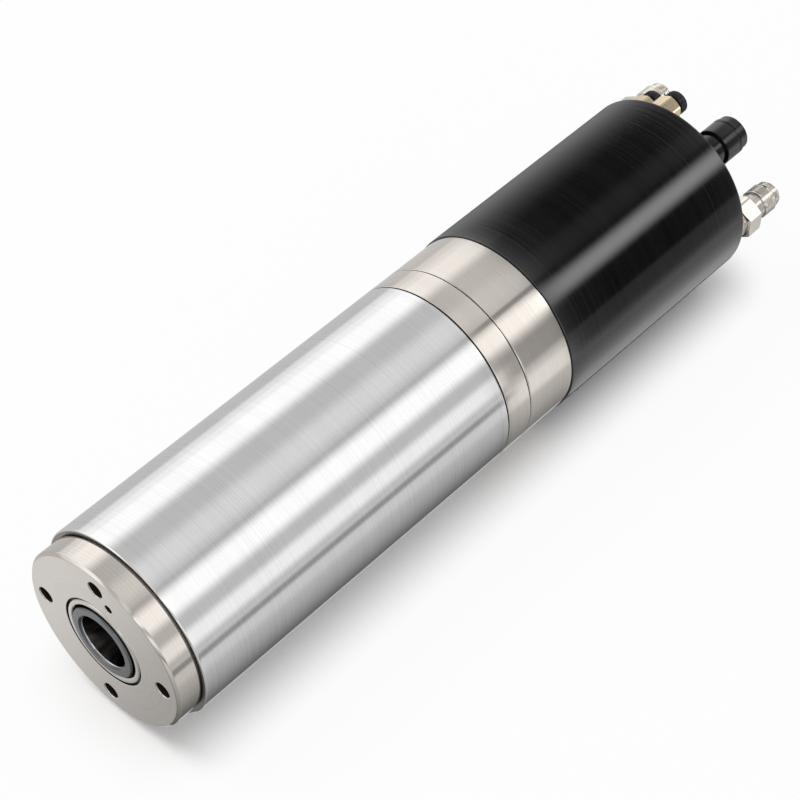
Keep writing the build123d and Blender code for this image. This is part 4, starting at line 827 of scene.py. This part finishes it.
# -------------------- round power connector
CONNECTOR_RING_X, CONNECTOR_LIP_X, CONNECTOR_END_X = 320.5, 330.6, 334.0
SOCKET_RADIUS, SOCKET_FLOOR_X, CONTACT_FACE_X = 5.6, CONNECTOR_END_X - 15.0, CONNECTOR_END_X - 8.0
COUPLING_BORE, COUPLING_RADIUS = 6.97, 8.1
connector_place = spot(PORT_CIRCLE, CONNECTOR_ANGLE)
shell = turned("round_connector_shell", [
    (PLATE_FRONT_X, 3.6), (PLATE_FRONT_X, 6.0), (PLATE_REAR_X, 6.0), (PLATE_REAR_X, 7.6),
    (PLATE_REAR_X + 1.2, 7.6, 0.2), (PLATE_REAR_X + 1.2, 6.9), (CONNECTOR_LIP_X, 6.9), (CONNECTOR_LIP_X, 7.5, 0.2),
    (CONNECTOR_END_X, 7.5, 0.5), (CONNECTOR_END_X, SOCKET_RADIUS, 0.25), (SOCKET_FLOOR_X, SOCKET_RADIUS),
    (SOCKET_FLOOR_X, 3.6)], connector_place, 128)
dressed(shell, connector_black, "housing", "connector_metal", "connector_shell")

ring_end = CONNECTOR_LIP_X - 0.07
coupling = turned("connector_coupling_ring", [
    (CONNECTOR_RING_X, COUPLING_BORE), (CONNECTOR_RING_X, COUPLING_RADIUS, 0.3),
    (ring_end - 2.2, COUPLING_RADIUS, 0.1), (ring_end - 2.0, COUPLING_RADIUS - 0.25, 0.1),
    (ring_end - 1.7, COUPLING_RADIUS, 0.1), (ring_end, COUPLING_RADIUS, 0.25), (ring_end, COUPLING_BORE)],
    connector_place, 128)
dressed(coupling, connector_black, "connector_ring", "connector_metal", "coupling_ring")

insert = turned("connector_contact_block", [
    (SOCKET_FLOOR_X, 0.0), (SOCKET_FLOOR_X, SOCKET_RADIUS), (CONTACT_FACE_X, SOCKET_RADIUS, 0.2),
    (CONTACT_FACE_X, 0.0)], connector_place, 96)
pin = lofted("contact_pin", [hoop(0.0, 0.0), hoop(0.0, 0.75), hoop(3.0, 0.75), hoop(3.3, 0.5), hoop(3.4, 0.0)],
             steps=16, closed=False)
pin_places = []
for angle in (45.0, 135.0, 225.0, 315.0):
    across, up = spot(3.0, angle)
    pin_places.append((CONTACT_FACE_X, connector_place[0] + across, connector_place[1] + up))
pins = at_places("connector_contact_pins", pin, pin_places, brass)
dressed(pins, brass, "housing", "brass", "connector_insert")
dressed(insert, black_plastic, "housing", "black_plastic", "connector_insert")

# -------------------- floor, light and camera
FLOOR_Z, FLOOR_REACH, FLOOR_GLOW = -COVER_RADIUS * MM, 30.0, 0.985
# The camera sees the shadow in full within these half sizes of a middle in X and Y, then it fades.
SHADOW_MIDDLE, SHADOW_HALF, SHADOW_WIDTH, FADED_SHARE = (0.157, 0.0), (0.157, 0.023), 0.030, 0.95
corners = ((-1, -1), (1, -1), (1, 1), (-1, 1))
floor = plain_mesh("studio_floor", [(x * FLOOR_REACH, y * FLOOR_REACH, FLOOR_Z) for x, y in corners], [(0, 1, 2, 3)])
floor_paint = bpy.data.materials.new("floor_paint")
floor_paint.use_nodes = True
tree = floor_paint.node_tree
nodes, links = tree.nodes, tree.links
shader = nodes["Principled BSDF"]
shader.inputs["Roughness"].default_value = 0.9
shader.inputs["Specular IOR Level"].default_value = 0.1
place = nodes.new("ShaderNodeTexCoord").outputs["Object"]
links.new(mapped(tree, noise(tree, place, 6.0), 0.0, 1.0, 0.915, 0.925), shader.inputs["Base Color"])
# The camera sees the floor's own shadow near the spindle and an even white further off.
glow = nodes.new("ShaderNodeEmission")
lift = nodes.new("ShaderNodeMixShader")
glow.inputs["Strength"].default_value = FLOOR_GLOW
split = separated(tree, place)
beyond = []
for axis, middle, half in zip("XY", SHADOW_MIDDLE, SHADOW_HALF):
    away = math_node(tree, "ABSOLUTE", math_node(tree, "SUBTRACT", split[axis], middle))
    away = math_node(tree, "MAXIMUM", math_node(tree, "SUBTRACT", away, half), 0.0)
    beyond.append(math_node(tree, "MULTIPLY", away, away))
distance = math_node(tree, "SQRT", math_node(tree, "ADD", *beyond))
fade = mapped(tree, distance, 0.0, SHADOW_WIDTH, 0.0, FADED_SHARE, smooth=True)
camera_ray = nodes.new("ShaderNodeLightPath").outputs["Is Camera Ray"]
links.new(math_node(tree, "MULTIPLY", camera_ray, fade), lift.inputs["Fac"])
links.new(shader.outputs[0], lift.inputs[1])
links.new(glow.outputs[0], lift.inputs[2])
links.new(lift.outputs[0], nodes["Material Output"].inputs["Surface"])
floor.data.materials.append(floor_paint)
floor.visible_glossy = False

# A light tent seen only in reflections: a tube round the spindle with soft boxes on its wall. Angles run in
# degrees from +Y over the top to -Y and on under the spindle. The three levels are for light that reaches the
# motor housing, the plated rings and the black barrel.
TENT_RADIUS, TENT_FROM, TENT_TO, TENT_START = 0.62, -8.0, 8.0, -80.0
TENT_ROOF, TENT_FLOOR = (0.56, 0.64, 0.03), (0.12, 0.22, 0.60)
# Where along the spindle one zone gives way to the next, in metres.
TO_HOUSING, TO_RINGS, TO_BARREL, TO_FITTINGS = (-0.10, 0.20), (0.524, 0.532), (0.588, 0.596), (0.782, 0.800)
FITTING_FADE, FITTING_SHARES = (0.95, 1.25), (1.35, 0.78)  # the rings' levels, times a share that falls off
# The nose face sees one window about an angle. Its level rises across its middle and is even far ahead.
NOSE_ANGLE, NOSE_HALF, NOSE_LEVELS, AHEAD_LEVEL, TO_WINDOW = -60.0, (14.0, 24.0), (0.42, 0.80), 0.30, (-0.72, -0.50)
SOFT_BOXES = [  # centre, half width, soft edge, then the three levels
    (7.0, 8.0, 4.0, 0.30, 0.20, 0.0),  # low window
    (32.0, 17.0, 9.0, 0.58, 0.46, 0.0),  # back window
    (94.0, 13.0, 9.0, 0.20, 0.08, 0.0),  # ceiling
    (115.5, 3.0, 1.5, -0.07, -0.34, 0.0),  # strip frame
    (133.0, 12.0, 6.5, 0.58, 0.56, 0.0),  # strip
    (173.0, 9.0, 5.0, 0.42, 0.0, 0.0),  # front wall
    (167.0, 15.0, 5.0, 0.0, -0.28, 0.0),  # front flag
    (196.0, 3.5, 2.0, -0.36, 0.0, 0.0),  # dark seam
    (203.0, 12.0, 6.0, 0.10, 0.28, 0.0),  # floor glow
    (-8.0, 30.0, 30.0, 0.0, 0.0, 0.48),  # rear window
    (101.0, 12.0, 8.0, 0.0, 0.0, 0.10),  # rear ceiling
    (133.8, 9.0, 7.5, 0.0, 0.0, 2.45),  # rear strip
    (200.0, 18.0, 2.5, 0.0, 0.0, 0.16),  # rear bench
    (236.0, 26.0, 12.0, 0.0, 0.0, 0.40),  # rear glow
]


def light_tent():
    """Builds the tent: its wall shines with the level of the zone that each point lies in."""
    points, faces = [], []
    steps = 96
    for step in range(steps):
        angle = 2 * math.pi * step / steps
        for x in (TENT_FROM, TENT_TO):
            points.append((x, TENT_RADIUS * math.cos(angle), TENT_RADIUS * math.sin(angle)))
        after = (step + 1) % steps
        faces.append((step * 2, step * 2 + 1, after * 2 + 1, after * 2))
    tent = plain_mesh("light_tent", points, faces)
    material = bpy.data.materials.new("tent_light")
    material.use_nodes = True
    tree = material.node_tree
    nodes, links = tree.nodes, tree.links
    nodes.clear()
    place = separated(tree, nodes.new("ShaderNodeTexCoord").outputs["Object"])
    angle = math_node(tree, "ARCTAN2", place["Z"], place["Y"])
    angle = math_node(tree, "MULTIPLY", angle, 180.0 / math.pi)
    angle = math_node(tree, "FLOORED_MODULO", math_node(tree, "SUBTRACT", angle, TENT_START), 360.0)
    angle = math_node(tree, "ADD", angle, TENT_START)

    def step_between(value, low, high, from_level=0.0, to_level=1.0):
        """A smooth step from one level to another as the value goes from low to high."""
        return mapped(tree, value, low, high, from_level, to_level, smooth=True)

    boxes = []
    for centre, half, edge, *levels in SOFT_BOXES:
        away = math_node(tree, "ABSOLUTE", math_node(tree, "SUBTRACT", angle, centre))
        boxes.append((step_between(away, half - edge, half + edge, 1.0, 0.0), levels))

    def zone(index):
        """Level of one zone: from roof to floor, with its soft boxes on top."""
        level = step_between(angle, 200.0, 282.0, TENT_ROOF[index], TENT_FLOOR[index])
        for box, levels in boxes:
            if levels[index]:
                level = math_node(tree, "MULTIPLY_ADD", box, levels[index], level)
        return level

    def mixed(first, second, factor):
        """The first level where the factor is 0, the second where it is 1."""
        node = nodes.new("ShaderNodeMix")
        links.new(factor, node.inputs["Factor"])
        feed(tree, first, node.inputs["A"])
        feed(tree, second, node.inputs["B"])
        return node.outputs["Result"]

    along = place["X"]
    level = mixed(zone(0), zone(1), step_between(along, *TO_RINGS))
    level = mixed(level, zone(2), step_between(along, *TO_BARREL))
    rear = math_node(tree, "MULTIPLY", zone(1), step_between(along, *FITTING_FADE, *FITTING_SHARES))
    level = mixed(level, rear, step_between(along, *TO_FITTINGS))
    nose = step_between(angle, NOSE_ANGLE - 6.0, NOSE_ANGLE + 6.0, *NOSE_LEVELS)
    nose = mixed(AHEAD_LEVEL, nose, step_between(along, *TO_WINDOW))
    beside = math_node(tree, "ABSOLUTE", math_node(tree, "SUBTRACT", angle, NOSE_ANGLE))
    nose = mixed(nose, zone(0), step_between(beside, *NOSE_HALF))
    level = mixed(nose, level, step_between(along, *TO_HOUSING))
    light = nodes.new("ShaderNodeEmission")
    links.new(level, light.inputs["Strength"])
    out = nodes.new("ShaderNodeOutputMaterial")
    links.new(light.outputs[0], out.inputs["Surface"])
    tent.data.materials.append(material)
    tent.visible_camera = tent.visible_diffuse = tent.visible_shadow = False
    tent.visible_transmission = tent.visible_volume_scatter = False


light_tent()

world = bpy.data.worlds.new("studio")
bpy.context.scene.world = world
world.use_nodes = True
tree = world.node_tree
background = tree.nodes["Background"]
rays = tree.nodes.new("ShaderNodeLightPath").outputs
seen = math_node(tree, "MAXIMUM", rays["Is Camera Ray"], rays["Is Glossy Ray"])
seen = math_node(tree, "MAXIMUM", seen, rays["Is Transmission Ray"])
# Softer for the light on the object and the floor, white where it is seen.
tree.links.new(mapped(tree, seen, 0.0, 1.0, 0.76, 1.0), background.inputs["Strength"])
background.inputs["Color"].default_value = (1.0, 1.0, 1.0, 1.0)


KEY_PLACE, KEY_AIM, KEY_SIZE, KEY_WATTS = (-0.6, 1.7, 2.4), (0.15, 0.0, 0.0), 1.6, 46.0
key_data = bpy.data.lights.new("key_light", "AREA")
key_data.shape, key_data.size, key_data.energy = "DISK", KEY_SIZE, KEY_WATTS
key_light = new_object("key_light", key_data)
key_light.location = KEY_PLACE
key_light.rotation_euler = (Vector(KEY_AIM) - Vector(KEY_PLACE)).to_track_quat("-Z", "Y").to_euler()
key_light.visible_camera = key_light.visible_glossy = False

CAMERA_PLACE, CAMERA_LINE = (-0.280149, -0.399802, 0.671367), (0.48456, 0.44775, -0.75148)
camera_data = bpy.data.cameras.new("camera")
camera_data.lens, camera_data.sensor_width = 105.70, 36.0
camera_data.clip_start, camera_data.clip_end = 0.01, 100.0
camera = new_object("camera", camera_data)
camera.location = CAMERA_PLACE
camera.rotation_euler = Vector(CAMERA_LINE).to_track_quat("-Z", "Y").to_euler()
bpy.context.scene.camera = camera
bpy.context.scene.view_settings.view_transform = "Standard"
